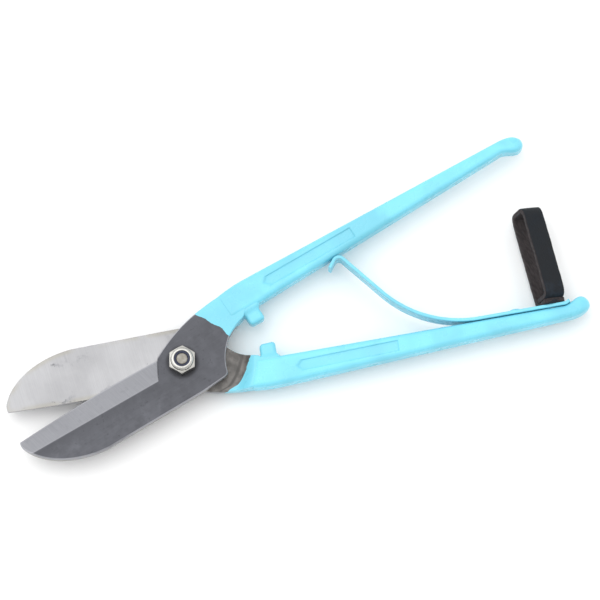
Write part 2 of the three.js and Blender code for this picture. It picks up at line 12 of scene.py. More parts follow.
import bpy
import numpy as np
from bpy.props import FloatProperty, FloatVectorProperty, PointerProperty
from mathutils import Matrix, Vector


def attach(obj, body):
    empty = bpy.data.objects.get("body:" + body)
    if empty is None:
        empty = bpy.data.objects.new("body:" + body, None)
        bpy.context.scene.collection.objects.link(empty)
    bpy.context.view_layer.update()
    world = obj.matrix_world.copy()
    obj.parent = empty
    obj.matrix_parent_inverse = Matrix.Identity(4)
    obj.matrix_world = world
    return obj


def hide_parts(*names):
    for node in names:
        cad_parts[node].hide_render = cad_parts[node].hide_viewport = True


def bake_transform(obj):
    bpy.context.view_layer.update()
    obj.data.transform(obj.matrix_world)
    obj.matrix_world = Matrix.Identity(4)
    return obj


bl_info = {
    "name": "Tinner's snips",
    "version": (1, 0, 0),
    "blender": (4, 5, 0),
    "location": "3D View > Sidebar > Snips",
    "description": "Builds the visible surfaces and finishes of straight-handled sheet-metal snips",
    "category": "Object",
}

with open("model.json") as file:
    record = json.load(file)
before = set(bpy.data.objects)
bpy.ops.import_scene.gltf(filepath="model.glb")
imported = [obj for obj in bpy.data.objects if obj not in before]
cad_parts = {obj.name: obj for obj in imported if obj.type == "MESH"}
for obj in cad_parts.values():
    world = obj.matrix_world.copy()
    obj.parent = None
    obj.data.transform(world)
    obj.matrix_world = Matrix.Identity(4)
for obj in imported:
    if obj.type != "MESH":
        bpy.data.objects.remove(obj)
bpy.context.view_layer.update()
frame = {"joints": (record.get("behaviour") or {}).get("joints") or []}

# ---- where the pieces stand, in millimetres of the row frame ----

SHEAR_Z = 1000 * frame["joints"][0]["pos_m"][2]
HALF_OPENING = math.radians(12.25)

# ---- the forging's outline, in its own frame ----

EDGE_OFFSET = 11.3
TIP_DROP = 3.3
TIP_ROUND = 0.9
HEEL = (-10, 8.6)
BELLY = (-56, -16.9)
HEAD_BACK = 19.3
HEAD_CORNER = (16.6, 3.2)
REAR_EDGE = (19.6, -8.6)
NECK_INNER = (27.4, -2.2)
NECK_FILLET = (33, 1.2)
NECK_OUTER = (36, 19.5)
HEAD_TOP = (21.5, 18)
HEAD_HOLLOW = (5, 16.3)
EDGE_BOW = (-45, 11.9)
BEVEL_HEEL = (-16, -1.7)
BEVEL_RISE = math.radians(3)
SHEAR_GAP = 0.05
RECESS_ROOM = 5
RECESS_RADIUS = math.hypot(HEAD_CORNER[0], HEAD_BACK) + RECESS_ROOM
RECESS_WALL = 9
NECK_RUN = 3.6
PLATE_ROOT = 10
NECK_START = RECESS_RADIUS + NECK_RUN
NECK_END = NECK_START + PLATE_ROOT
HALF_BAR = 5.5
NECK_SHOULDER = 0.7
ROOT_X, ROOT_OUTER, ROOT_INNER = 45, 20, 4.5
END_X, END_OUTER, END_INNER = 205, 7.9, 1.35
NECK_BEND_FROM, NECK_BEND_RUN, NECK_BEND_DROP = 51, 17, 1.7
NECK_ROUND = 1.2
KNOB = (END_X + 4.3, END_OUTER - 5.7)
KNOB_START = KNOB[0] - 6.3
KNOB_RUN = 9.3
KNOB_RADIUS = 4.5
PANEL_START, PANEL_LENGTH, PANEL_HALF = 58, 54, 2.9
LUG_X, LUG_HALF, LUG_DEEP, LUG_ROUND = 44.8, 4.2, 4, 1.9
LUG_FALL = math.tan(math.radians(4.6))
INNER_SLOPE = math.atan((END_INNER - ROOT_INNER) / (END_X - ROOT_X))

# ---- what is riveted to the rear handle ----

LEAF_SEAT = 0.3
LEAF_CONTACT = 97
LEAF_CONTACT_GAP = 0.2
LEAF_ROOT_RADIUS = 60
LEAF_CLIMB = math.radians(50.5)
LEAF_TOE_LENGTH, LEAF_TOE_ANGLE = 4.6, math.radians(55)
LEAF_TAIL_RUN = 1.3
LEAF_END_FROM_KNOB = 6
RIVET_X = KNOB[0] - 34.5
STRAP_X = KNOB[0] - 15.2
STRAP_CORNER = 4.5
STRAP_SIDE_ROOM = 1.2
CREASE_LOW, CREASE_HIGH = 5.5, 12

# ---- where the leaf and the strap bend, in millimetres ----

LEAF_BEND_START = RIVET_X - 6
LEAF_BEND_END = (112.0, -20.0)
STRAP_FOLD_LOW, STRAP_FOLD_HIGH = 5.0, 15.0

# ---- bolt and nut ----

BOLT_HEAD_HEIGHT = 5.3
NUT_Z = 15.9
NUT_HEX, NUT_COLLAR = 5.6, 2.4
NUT_TURN = math.radians(8.65)
BOLT_END_Z = 23.25
BOLT_FACE_RADIUS = 2.75
CHAMFER_Z = 21.9
THREAD_PITCH = 1.25
BOLT_SIDES = 96


# ---- surfaces ----


def smooth(value, low, high):
    """The cubic step: 0 below low, 1 above high, and 3t^2 - 2t^3 between them."""
    t = np.clip((value - low) / (high - low), 0, 1)
    return t * t * (3 - 2 * t)


def bezier(controls, count=60):
    """A Bezier curve: the control points weighted by the Bernstein polynomials of their degree."""
    t = np.linspace(0, 1, count)[:, None]
    degree = len(controls) - 1
    weights = [math.comb(degree, k) * t**k * (1 - t) ** (degree - k) for k in range(degree + 1)]
    return sum(w * np.array(c, float)[None] for w, c in zip(weights, controls))


def spaced(low, high, spacing):
    """Places from low to high whose steps follow spacing(x): equal shares of the sum of 1 / spacing."""
    fine = np.linspace(low, high, 6000)
    share = np.concatenate([[0], np.cumsum(np.diff(fine) / spacing(fine[1:]))])
    return np.interp(np.linspace(0, share[-1], int(share[-1]) + 2), share, fine)


def along(points, step):
    """The same line of points at even steps of its own length."""
    gaps = np.linalg.norm(np.diff(points, axis=0), axis=1)
    length = np.concatenate([[0], np.cumsum(gaps)])
    even = np.linspace(0, length[-1], max(int(length[-1] / step), 2) + 1)
    return np.stack([np.interp(even, length, points[:, k]) for k in range(points.shape[1])], axis=1)


def round_box(face, side, corner):
    """Columns round a rectangle with round corners: (cy, cz) runs over the inner rectangle and
    (ay, az) is the unit direction of the rounding, so that a point is c * (half - r) + a * r."""
    flat = np.linspace(-1, 1, face)
    wall = np.linspace(-1, 1, side)
    arc = np.linspace(0, np.pi / 2, corner + 2)[1:-1]
    one, nil = np.ones_like, np.zeros_like
    parts = [
        (flat, one(flat), nil(flat), one(flat)),
        (one(arc), one(arc), np.sin(arc), np.cos(arc)),
        (one(wall), -wall, one(wall), nil(wall)),
        (one(arc), -one(arc), np.cos(arc), -np.sin(arc)),
        (-flat, -one(flat), nil(flat), -one(flat)),
        (-one(arc), -one(arc), -np.sin(arc), -np.cos(arc)),
        (-one(wall), wall, -one(wall), nil(wall)),
        (-one(arc), one(arc), -np.cos(arc), np.sin(arc)),
    ]
    return [np.concatenate([p[k] for p in parts]) for k in range(4)]


def tube(rings, loop=False):
    """Vertices and faces of a surface over a grid whose columns close on themselves. Its two ends are
    closed by fans, or with loop its last ring meets its first. Faces are turned outwards by the sign
    of the enclosed volume, the sum of a . (b x c) / 6 over its triangles."""
    rows, columns = rings.shape[:2]
    index = np.arange(rows * columns).reshape(rows, columns)
    if loop:
        index = np.vstack([index, index[:1]])
    across = np.roll(index, -1, axis=1)
    quads = np.stack([index[:-1], across[:-1], across[1:], index[1:]], axis=-1).reshape(-1, 4)
    vertices = rings.reshape(-1, 3)
    triangles = np.zeros((0, 3), int)
    if not loop:
        vertices = np.vstack([vertices, rings[0].mean(0), rings[-1].mean(0)])
        first, last = rows * columns, rows * columns + 1
        start = np.stack([np.full(columns, first), across[0], index[0]], axis=1)
        end = np.stack([np.full(columns, last), index[-1], across[-1]], axis=1)
        triangles = np.vstack([start, end])
    halves = np.vstack([quads[:, [0, 1, 2]], quads[:, [0, 2, 3]], triangles])
    a, b, c = (vertices[halves[:, k]] for k in range(3))
    if np.einsum("ij,ij->i", a, np.cross(b, c)).sum() < 0:
        quads, triangles = quads[:, ::-1], triangles[:, ::-1]
    return vertices, quads, triangles


def capped(values):
    """A value per grid point, carried on to the two points in the middle of the end fans."""
    return np.concatenate([values.reshape(-1), [values[0].mean(), values[-1].mean()]])


def piece(name, parts, material, body, replaced, slot, crease=34, **attributes):
    """One mesh object, at the origin, made of closed surfaces given in millimetres of the row frame."""
    offsets = np.cumsum([0] + [len(p[0]) for p in parts])
    vertices = np.vstack([p[0] for p in parts]) / 1000
    faces = [f + o for p, o in zip(parts, offsets) for f in p[1:] if len(f)]
    sizes = np.concatenate([np.full(len(f), f.shape[1]) for f in faces])
    corners = np.concatenate([f.reshape(-1) for f in faces])
    mesh = bpy.data.meshes.new(name)
    mesh.vertices.add(len(vertices))
    mesh.vertices.foreach_set("co", vertices.astype(np.float32).ravel())
    mesh.loops.add(len(corners))
    mesh.loops.foreach_set("vertex_index", corners.astype(np.int32))
    mesh.polygons.add(len(sizes))
    starts = np.concatenate([[0], np.cumsum(sizes)[:-1]])
    mesh.polygons.foreach_set("loop_start", starts.astype(np.int32))
    mesh.polygons.foreach_set("use_smooth", np.ones(len(sizes), bool))
    for key, values in attributes.items():
        layer = mesh.attributes.new(key, "FLOAT", "POINT")
        layer.data.foreach_set("value", np.concatenate(values).astype(np.float32))
    mesh.update(calc_edges=True)
    mesh.validate()
    mesh.set_sharp_from_angle(angle=math.radians(crease))
    mesh.materials.append(material)
    made = bpy.data.objects.new(name, mesh)
    bpy.context.scene.collection.objects.link(made)
    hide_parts(*replaced)
    if isinstance(body, str):
        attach(made, body)
    else:
        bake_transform(made)
    return made


def on_half(points, half):
    """Points of the forging's frame, in the row frame: turned by half the opening about the pivot,
    and for the rear half then turned over about the x axis."""
    c, s = math.cos(HALF_OPENING), math.sin(HALF_OPENING)
    x, y, z = points[..., 0], points[..., 1], points[..., 2]
    x, y = x * c - y * s, x * s + y * c
    if half == "rear":
        y, z = -y, -z
    return np.stack([x, y, z + SHEAR_Z], axis=-1)


def placed(rings, half, loop=False):
    return tube(on_half(rings, half), loop)


# ---- the forging: blade, head and neck ----


def handle_outer(x):
    return ROOT_OUTER + (END_OUTER - ROOT_OUTER) * (x - ROOT_X) / (END_X - ROOT_X)


def handle_inner(x):
    return ROOT_INNER + (END_INNER - ROOT_INNER) * (x - ROOT_X) / (END_X - ROOT_X)


def plate_sides(length):
    """The plate's two long sides, each from the nose of the blade to the end of the neck."""
    tip = -length
    nose = tip + TIP_ROUND
    belly = BELLY[0] - tip
    back = -HEAD_BACK
    corner, radius = HEAD_CORNER
    foot = (LUG_X - LUG_HALF - 1, ROOT_INNER - 1.9)
    low = np.vstack([
        bezier([
            (tip, EDGE_OFFSET - TIP_DROP),
            (tip + 0.075 * belly, -3.5),
            (BELLY[0] - 0.52 * belly, BELLY[1] + 2.1),
            BELLY,
        ], 160),
        bezier([BELLY, (0, back + 0.3)])[1:],
        bezier([(0, back + 0.3), (corner - radius, back + 0.6)])[1:],
        bezier([(corner - radius, back + 0.6), (corner, back + 0.6), (corner + 0.6, back + 3.4)])[1:],
        bezier([(corner + 0.6, back + 3.4), REAR_EDGE, NECK_INNER])[1:],
        bezier([NECK_INNER, NECK_FILLET, foot])[1:],
        bezier([foot, (NECK_END, ROOT_INNER + 2)])[1:],
    ])
    high = np.vstack([
        bezier([(tip, EDGE_OFFSET - TIP_DROP), (tip, EDGE_OFFSET), (nose, EDGE_OFFSET)]),
        bezier([(nose, EDGE_OFFSET), EDGE_BOW, HEEL], 120)[1:],
        bezier([HEEL, HEAD_HOLLOW, HEAD_TOP])[1:],
        bezier([HEAD_TOP, NECK_OUTER, (NECK_END, ROOT_OUTER - 2)])[1:],
    ])
    return low, high


def nearest(points, line):
    """Distance from each point to the nearest of a dense line of points, in slices of points."""
    flat = points.reshape(-1, 2)
    found = np.empty(len(flat))
    for start in range(0, len(flat), 4000):
        part = flat[start : start + 4000]
        gap = part[:, None, :] - line[None, :, :]
        found[start : start + 4000] = np.sqrt((gap**2).sum(-1).min(1))
    return found.reshape(points.shape[:-1])


def plate_steps(x):
    """Length of a step along the plate: short at the nose, at the heel of the bevel, round the head's
    corner and over the recess wall."""
    step = 0.06 + 0.16 * np.abs(x - x[0])
    step = np.minimum(step, 0.85)
    step = np.where(np.abs(x + 12.5) < 5, 0.26, step)
    step = np.where((x > 13) & (x < 22), 0.14, step)
    return np.where((x > 22) & (x < 37), 0.4, step)


def blade_surface(sizes):
    """Blade, head and neck as one tube of rings across the plate. The outer face lies at the plate's
    thickness and falls away on the bevel by the tangent of its slope; it rounds over to the outline by
    a quarter circle of the distance to it. The shear face is flat, and beyond the recess radius it
    drops by the cubic step to the neck's face."""
    length, thickness = 1000 * sizes.length, 1000 * sizes.thickness
    rounding = 1000 * sizes.edge_round
    low, high = plate_sides(length)
    x = spaced(-length + 0.02, NECK_END, plate_steps)
    y_low = np.interp(x, low[:, 0], low[:, 1])
    y_high = np.interp(x, high[:, 0], high[:, 1])

    # one line of columns runs along the upper boundary of the bevel
    rise = math.tan(BEVEL_RISE)
    boundary = BEVEL_HEEL[1] + (BEVEL_HEEL[0] - x) * rise
    wide = y_high - y_low
    heel_line = np.where(x < BEVEL_HEEL[0], boundary, BEVEL_HEEL[1])
    ridge = np.clip(heel_line, y_low + 0.1 * wide, y_high - 0.1 * wide)
    v = np.linspace(0, 1, 43)
    v = v - 0.86 * np.sin(2 * np.pi * v) / (2 * np.pi)
    lower = y_low[:, None] + (ridge - y_low)[:, None] * v
    upper = ridge[:, None] + (y_high - ridge)[:, None] * v[1:]
    y = np.concatenate([lower, upper], axis=1)
    x = np.repeat(x[:, None], y.shape[1], axis=1)

    rim = nearest(np.stack([x, y], axis=-1), np.vstack([along(low, 0.12), along(high, 0.12)]))
    rim[:, [0, -1]] = 0
    into_bevel = (y - (BEVEL_HEEL[1] + (BEVEL_HEEL[0] - x) * rise)) * math.cos(BEVEL_RISE)
    heel_line = np.array(HEEL) - np.array(BEVEL_HEEL)
    heel_line = heel_line / np.linalg.norm(heel_line)
    past_heel = (y - BEVEL_HEEL[1]) * heel_line[0] - (x - BEVEL_HEEL[0]) * heel_line[1]
    ground = smooth(past_heel, -0.25, 0.15)
    fall = np.maximum(into_bevel, 0) * math.tan(sizes.bevel_slope) * ground
    top = thickness - fall
    soft = np.minimum(rounding, 0.4 * (top - SHEAR_GAP))
    inside = np.minimum(rim, soft)
    top = top - soft + np.sqrt(np.maximum(soft**2 - (soft - inside) ** 2, 0))

    reach = np.hypot(x, y)
    neck_face = HALF_BAR - NECK_SHOULDER
    drop = smooth(reach, RECESS_RADIUS - 0.5, RECESS_RADIUS + RECESS_WALL) * (HALF_BAR + SHEAR_GAP)
    bottom = np.where(x > 0, np.maximum(SHEAR_GAP - drop, -neck_face), SHEAR_GAP)
    lip = np.where(bottom < -1, 0.8, 0.12)
    inside = np.minimum(rim, lip)
    bottom = bottom + lip - np.sqrt(np.maximum(lip**2 - (lip - inside) ** 2, 0))

    face = np.stack([x, y, top], axis=-1)
    shear = np.stack([x, y, bottom], axis=-1)[:, ::-1]
    wall_high = face[:, -1:] + (shear[:, :1] - face[:, -1:]) * np.array([0.33, 0.67])[None, :, None]
    wall_low = shear[:, -1:] + (face[:, :1] - shear[:, -1:]) * np.array([0.33, 0.67])[None, :, None]
    rings = np.concatenate([face, wall_high, shear, wall_low], axis=1)

    # how far past the paint's edge, how far into the bevel, how far in from the outline; outer face or not
    outer_edge = np.interp(y, [-2, 4.6, 12.9, 16.9], [28, 26.2, 22.3, 19.3])
    shear_edge = np.interp(y, [2, 5.6, 10.1, 13.5, 15.4, 17.1, 18.4], [34.9, 33.3, 31, 28.4, 26.5, 22, 20.2])

    def carried(on_face, on_shear):
        flipped = on_shear[:, ::-1]
        a, b = on_face[:, -1:], flipped[:, :1]
        c, d = flipped[:, -1:], on_face[:, :1]
        walls = [np.concatenate([p, q], axis=1) for p, q in ((a, b), (c, d))]
        return capped(np.concatenate([on_face, walls[0], flipped, walls[1]], axis=1))

    bevel = np.where(past_heel > -0.2, into_bevel, -5)
    values = {
        "paint_edge": carried(0.9 * (x - outer_edge), 0.9 * (x - shear_edge)),
        "bevel_edge": carried(bevel, np.full_like(x, -5)),
        "rim": carried(rim, rim),
        "nut_shadow_reach": carried(reach, reach),
        "outer_face": carried(np.ones_like(x), np.zeros_like(x)),
    }
    return rings, values


# ---- the forging: handle, knob and lug ----


def bar_outer(x, knob_radius):
    """The handle's outer line, bent in by a square law towards the neck and rounded over the knob."""
    bend = np.maximum(NECK_BEND_FROM - x, 0) / NECK_BEND_RUN
    line = handle_outer(x) - NECK_BEND_DROP * bend**2
    past = np.maximum(x - KNOB_START, 0) / (KNOB[0] + knob_radius - KNOB_START)
    return KNOB[1] + (line - KNOB[1]) * np.sqrt(np.maximum(1 - past**2, 0))


def bar_inner(x, knob_radius):
    """The handle's inner line, dropping by the cubic step into the knob's circle."""
    past = np.maximum(x - KNOB[0], 0) / knob_radius
    knob = KNOB[1] - knob_radius * np.sqrt(np.maximum(1 - past**2, 0))
    share = smooth(x, KNOB[0] - KNOB_RUN, KNOB[0])
    return handle_inner(x) * (1 - share) + knob * share


def bar_steps(x):
    step = np.where(x < 40, 0.3, 1.5)
    step = np.where(np.abs(x - PANEL_START - PANEL_LENGTH / 2) < PANEL_LENGTH / 2 + 2, 0.7, step)
    return np.where(x > KNOB_START - 6, 0.32, step)


def handle_surface(sizes):
    """Rings of a round-cornered rectangle from the neck to the knob. A plain panel is sunk into both
    faces: its depth follows the cubic step of the distance inside the panel's outline."""
    half, radius = 500 * sizes.thickness, 1000 * sizes.edge_radius
    knob_radius = 1000 * sizes.knob_radius
    x = spaced(NECK_START, KNOB[0] + knob_radius - 0.04, bar_steps)[:, None]
    outer, inner = bar_outer(x, knob_radius), bar_inner(x, knob_radius)
    middle, tall = (outer + inner) / 2, (outer - inner) / 2
    past = np.maximum(x - KNOB[0] + 1, 0) / (knob_radius + 1)
    before = np.maximum(NECK_START + NECK_ROUND - x, 0) / NECK_ROUND
    thick = half * np.sqrt(np.maximum(1 - past**2, 0))
    thick = thick - NECK_ROUND * (1 - np.sqrt(np.maximum(1 - before**2, 0)))
    round_by = np.minimum(radius, 0.92 * np.minimum(tall, thick))
    cy, cz, ay, az = (c[None, :] for c in round_box(28, 7, 9))
    across = cy * (tall - round_by) + ay * round_by
    z = cz * (thick - round_by) + az * round_by
    inside = np.minimum(PANEL_HALF - np.abs(across), (x - PANEL_START - np.abs(across)) / math.sqrt(2))
    inside = np.minimum(inside, PANEL_START + PANEL_LENGTH - x)
    sink = 1000 * sizes.panel_depth * smooth(inside, -0.05, 0.32) * (np.abs(az) > 0.99)
    z = z - np.sign(az) * sink
    y = middle + across
    wall = RECESS_RADIUS + RECESS_WALL * (SHEAR_GAP - z) / (HALF_BAR + SHEAR_GAP)
    shift = np.where(z < SHEAR_GAP, np.sqrt(np.maximum(wall**2 - y**2, 0)) - NECK_START, 0)
    x = x + np.maximum(shift, 0) * np.clip(1 - (x - NECK_START) / 11, 0, 1)
    edge = np.minimum(tall - np.abs(across), thick - np.abs(z)) + 0 * z
    return np.stack([x + 0 * y, y, z], axis=-1), capped(edge)


def lug_surface():
    """A round-cornered peg that grows out of the handle towards the other one. Its end face slants so
    that it points at the pivot, it rounds over by a quarter circle, and its root flares by the square
    of the cubic step of the height."""
    cy, cz, ay, az = (c[None, :] for c in round_box(8, 8, 8))
    straight = np.linspace(0, 1, 22)[:, None]
    turn = np.linspace(0, np.pi / 2, 9)[1:, None]
    inset = np.concatenate([0 * straight, LUG_ROUND * (1 - np.cos(turn))])
    inset = np.minimum(inset, 0.98 * LUG_ROUND)
    x = cy * (LUG_HALF - LUG_ROUND) + ay * (LUG_ROUND - inset)
    z = cz * (LUG_DEEP - LUG_ROUND) + az * (LUG_ROUND - inset)
    root, end = ROOT_INNER + 4, -(LUG_X + x) * LUG_FALL + LUG_ROUND
    reach = np.concatenate([straight, np.ones_like(turn)])
    y = root + (end - root) * reach - LUG_ROUND * np.concatenate([0 * straight, np.sin(turn)])
    flare = 1.7 * smooth(y, 1.2, 4.6) ** 2
    return np.stack([LUG_X + x + cy * flare, y, z + cz * 0.6 * flare], axis=-1)


# ---- leaf spring ----


def leaf_tail(x, thickness):
    return -handle_inner(x) + (LEAF_SEAT + thickness / 2) / math.cos(INNER_SLOPE)


def leaf_line(sizes):
    """The leaf's middle line from toe to tail, in (x, -y): a straight toe, an arc over the crest that
    bears on the other handle, a straight climb, a long arc at the root and a straight tail."""
    thickness, crest_radius = 1000 * sizes.thickness, 1000 * sizes.crest_radius
    opening = 2 * HALF_OPENING
    c, s = math.cos(opening), math.sin(opening)
    contact = np.array([LEAF_CONTACT, handle_inner(LEAF_CONTACT)])
    contact = np.array([contact[0] * c - contact[1] * s, contact[0] * s + contact[1] * c])
    slant = opening + INNER_SLOPE
    reach = crest_radius + thickness / 2 + LEAF_CONTACT_GAP
    crest = contact + reach * np.array([math.sin(slant), -math.cos(slant)])
    climb, toe = math.pi / 2 - LEAF_CLIMB, math.pi / 2 + LEAF_TOE_ANGLE

    def arc(centre, radius, start, end, count):
        angle = np.linspace(start, end, count)
        return centre + radius * np.stack([np.cos(angle), np.sin(angle)], axis=1)

    over = arc(crest, crest_radius, toe, climb, 40)
    toe_end = over[0] + LEAF_TOE_LENGTH * np.array([-math.sin(toe), math.cos(toe)])
    down = np.array([math.cos(LEAF_CLIMB), -math.sin(LEAF_CLIMB)])
    tail_slope = -math.tan(INNER_SLOPE)
    run = (over[-1][1] - leaf_tail(over[-1][0], thickness)) / (tail_slope * down[0] - down[1])
    corner = over[-1] + run * down
    turn = LEAF_CLIMB + math.atan(tail_slope)
    start = corner - LEAF_ROOT_RADIUS * math.tan(turn / 2) * down
    centre = start + LEAF_ROOT_RADIUS * np.array([-down[1], down[0]])
    root = arc(centre, LEAF_ROOT_RADIUS, -math.pi / 2 - LEAF_CLIMB, -math.pi / 2 - LEAF_CLIMB + turn, 60)
    turn_up = KNOB[0] - KNOB_RUN + LEAF_TAIL_RUN
    end_x = KNOB[0] - LEAF_END_FROM_KNOB
    end = LEAF_SEAT + thickness / 2 - bar_inner(np.array([end_x]), KNOB_RADIUS)[0]
    tail = np.array([[turn_up, leaf_tail(turn_up, thickness)], [end_x, end]])
    return np.vstack([toe_end[None], over, root, tail])


def leaf_surface(sizes):
    """A thin round-cornered rectangle carried along the leaf's line, square to it."""
    line = along(leaf_line(sizes), 0.6)
    ahead = np.gradient(line, axis=0)
    ahead = ahead / np.linalg.norm(ahead, axis=1, keepdims=True)
    normal = np.stack([-ahead[:, 1], ahead[:, 0]], axis=1)
    half, wide, radius = 500 * sizes.thickness, 500 * sizes.width, 0.4
    cy, cz, ay, az = (c[None, :] for c in round_box(5, 16, 4))
    out = cy * (half - radius) + ay * radius
    across = cz * (wide - radius) + az * radius
    place = line[:, None, :] + normal[:, None, :] * out[..., None]
    rings = np.stack([place[..., 0], -place[..., 1], across + 0 * place[..., 0]], axis=-1)
    edge = (wide - np.abs(across)) + 0 * place[..., 0]
    return rings, capped(edge)


# ---- keeper strap ----


def on_tail(points, x, thickness):
    """Points drawn from the leaf's tail, in the forging's frame: turned to the tail's slope."""
    c, s = math.cos(INNER_SLOPE), math.sin(INNER_SLOPE)
    px, py = points[..., 0], points[..., 1]
    return np.stack(
        [px * c - py * s + x, px * s + py * c - leaf_tail(x, thickness), points[..., 2]], axis=-1
    )


def strap_surface(sizes, leaf, handle):
    """A strip of leather carried round a loop: along the leaf, up one side, over, down the other side
    and back over its own beginning. The loop leans by a shear in its height and is swivelled
    about its rivet."""
    skin = 1000 * sizes.leather
    depth = 500 * handle.thickness + STRAP_SIDE_ROOM + skin / 2
    top = 1000 * sizes.height - skin / 2
    first, second = skin / 2, 1.5 * skin
    r = STRAP_CORNER - skin / 2

    def quarter(cx, cy, start):
        angle = start + np.linspace(0, np.pi / 2, 14)
        return np.stack([cx + r * np.cos(angle), cy + r * np.sin(angle)], axis=1)

    line = np.vstack([
        [[-depth + 1.8, first]],
        quarter(depth - r, first + r, -np.pi / 2),
        [[depth + 0.25, top / 2]],
        quarter(depth - r, top - r, 0),
        quarter(-depth + r, top - r, np.pi / 2),
        [[-depth - 0.25, top / 2]],
        quarter(-depth + r, second + r, np.pi),
        [[depth - 3.4, second]],
    ])
    line = along(line, 0.7)
    kernel = np.ones(5) / 5
    for k in range(2):
        padded = np.concatenate([np.full(2, line[0, k]), line[:, k], np.full(2, line[-1, k])])
        line[:, k] = np.convolve(padded, kernel, "valid")
    ahead = np.gradient(line, axis=0)
    ahead = ahead / np.linalg.norm(ahead, axis=1, keepdims=True)
    normal = np.stack([ahead[:, 1], -ahead[:, 0]], axis=1)
    cy, cz, ay, az = (c[None, :] for c in round_box(5, 22, 4))
    t = np.linspace(0, 1, len(line))[:, None]
    uneven = 0.05 * np.sin(37 * t + 1.3) + 0.04 * np.sin(83 * t) + 0.03 * np.sin(151 * t + 0.4)
    half, wide, radius = skin / 2, 500 * sizes.width - 0.25, 0.55
    out = cy * (half - radius) + ay * radius
    across = cz * (wide - radius + uneven) + az * radius
    crown = 0.12 * (1 - (across / wide) ** 2)
    place = line[:, None, :] + normal[:, None, :] * (out + np.sign(out) * crown)[..., None]
    rise, side = place[..., 1], place[..., 0]
    lean = np.maximum(rise - 2 * skin, 0) * math.tan(sizes.lean)
    c, s = math.cos(sizes.swivel), math.sin(sizes.swivel)
    x = across * c - side * s - lean
    z = across * s + side * c
    seat = 500 * leaf.thickness + 0.1
    rings = on_tail(np.stack([x, -rise - seat, z], axis=-1), STRAP_X, 1000 * leaf.thickness)
    cut = np.abs(az) * (np.abs(cz) > 0.99) + 0 * rise
    bend = 1 - smooth(rise, CREASE_LOW, CREASE_HIGH)
    flesh = np.clip(-out / half, 0, 1) + 0 * rise
    return rings, capped(cut), capped(bend), capped(flesh)


# ---- turned pieces ----


def turned(profile, sides=64):
    """A profile of (radius, height) turned about Z: x = r cos a, y = r sin a."""
    profile = np.array(profile, float)
    angle = np.linspace(0, 2 * np.pi, sides, endpoint=False)
    r, z = profile[:, :1], profile[:, 1:2]
    return np.stack([r * np.cos(angle), r * np.sin(angle), z + 0 * angle], axis=-1)


def tail_turned(profile, x, leaf, sides=48):
    """The same, standing on the leaf's tail with its height away from the handle."""
    rings = turned(profile, sides)
    laid = np.stack([rings[..., 0], -rings[..., 2], rings[..., 1]], axis=-1)
    return on_tail(laid, x, 1000 * leaf.thickness)


def hexagon_rows(across, rows, sides=192):
    """Rows of (radius, share, height) round a hexagon. A row without a radius runs along the flats, at
    (across / 2) / cos(angle from a flat's middle), and its height moves by that share of the fall that
    a 30 degree chamfer has towards the corners."""
    angle = np.linspace(0, 2 * np.pi, sides, endpoint=False)
    flat = across / 2 / np.cos(np.mod(angle, np.pi / 3) - np.pi / 6)
    flat = np.minimum(flat, across / math.sqrt(3) - 0.06)
    fall = (flat - (across / 2 - 0.2)) * math.tan(math.radians(30))
    radius = np.stack([flat if r is None else np.full(sides, float(r)) for r, _, _ in rows])
    height = np.stack([z + share * fall for _, share, z in rows])
    turn = angle + NUT_TURN
    return np.stack([radius * np.cos(turn), radius * np.sin(turn), height], axis=-1)


def bolt_head(across):
    inner = across / 2 - 0.2
    sides = [(None, 0, z) for z in (1.8, 3.4, BOLT_HEAD_HEIGHT - 0.1, BOLT_HEAD_HEIGHT)]
    rows = [(0.02, 0, 0), (inner, 0, 0), (None, 1, 0), (None, 1, 0.3), *sides, (0.02, 0, BOLT_HEAD_HEIGHT)]
    return hexagon_rows(across, rows)


def bolt_end(radius):
    """The bolt's end above the shear plates. The thread is a triangle wave of z / pitch - a / 2 pi cut
    into the shank, and the end narrows by its chamfer to a slightly dished face."""
    angle = np.linspace(0, 2 * np.pi, BOLT_SIDES, endpoint=False)
    height = np.concatenate([
        [NUT_Z + 0.3, 18],
        np.linspace(18.5, CHAMFER_Z, 40),
        np.linspace(CHAMFER_Z + 0.05, BOLT_END_Z, 20),
    ])[:, None]
    groove = 2 * np.abs(np.mod(height / THREAD_PITCH - angle / (2 * np.pi), 1) - 0.5)
    thread = 0.35 * groove * smooth(height, 18.5, 20) * (1 - smooth(height, BOLT_END_Z - 0.4, BOLT_END_Z))
    chamfer = (radius - BOLT_FACE_RADIUS) * np.maximum(height - CHAMFER_Z, 0) / (BOLT_END_Z - CHAMFER_Z)
    across = radius - chamfer - thread
    shank = np.stack([across * np.cos(angle), across * np.sin(angle), height + 0 * angle], axis=-1)
    face = [(BOLT_FACE_RADIUS - 0.15, BOLT_END_Z + 0.08), (1.5, BOLT_END_Z), (0.02, BOLT_END_Z - 0.05)]
    return np.concatenate([shank, turned(face, BOLT_SIDES)])


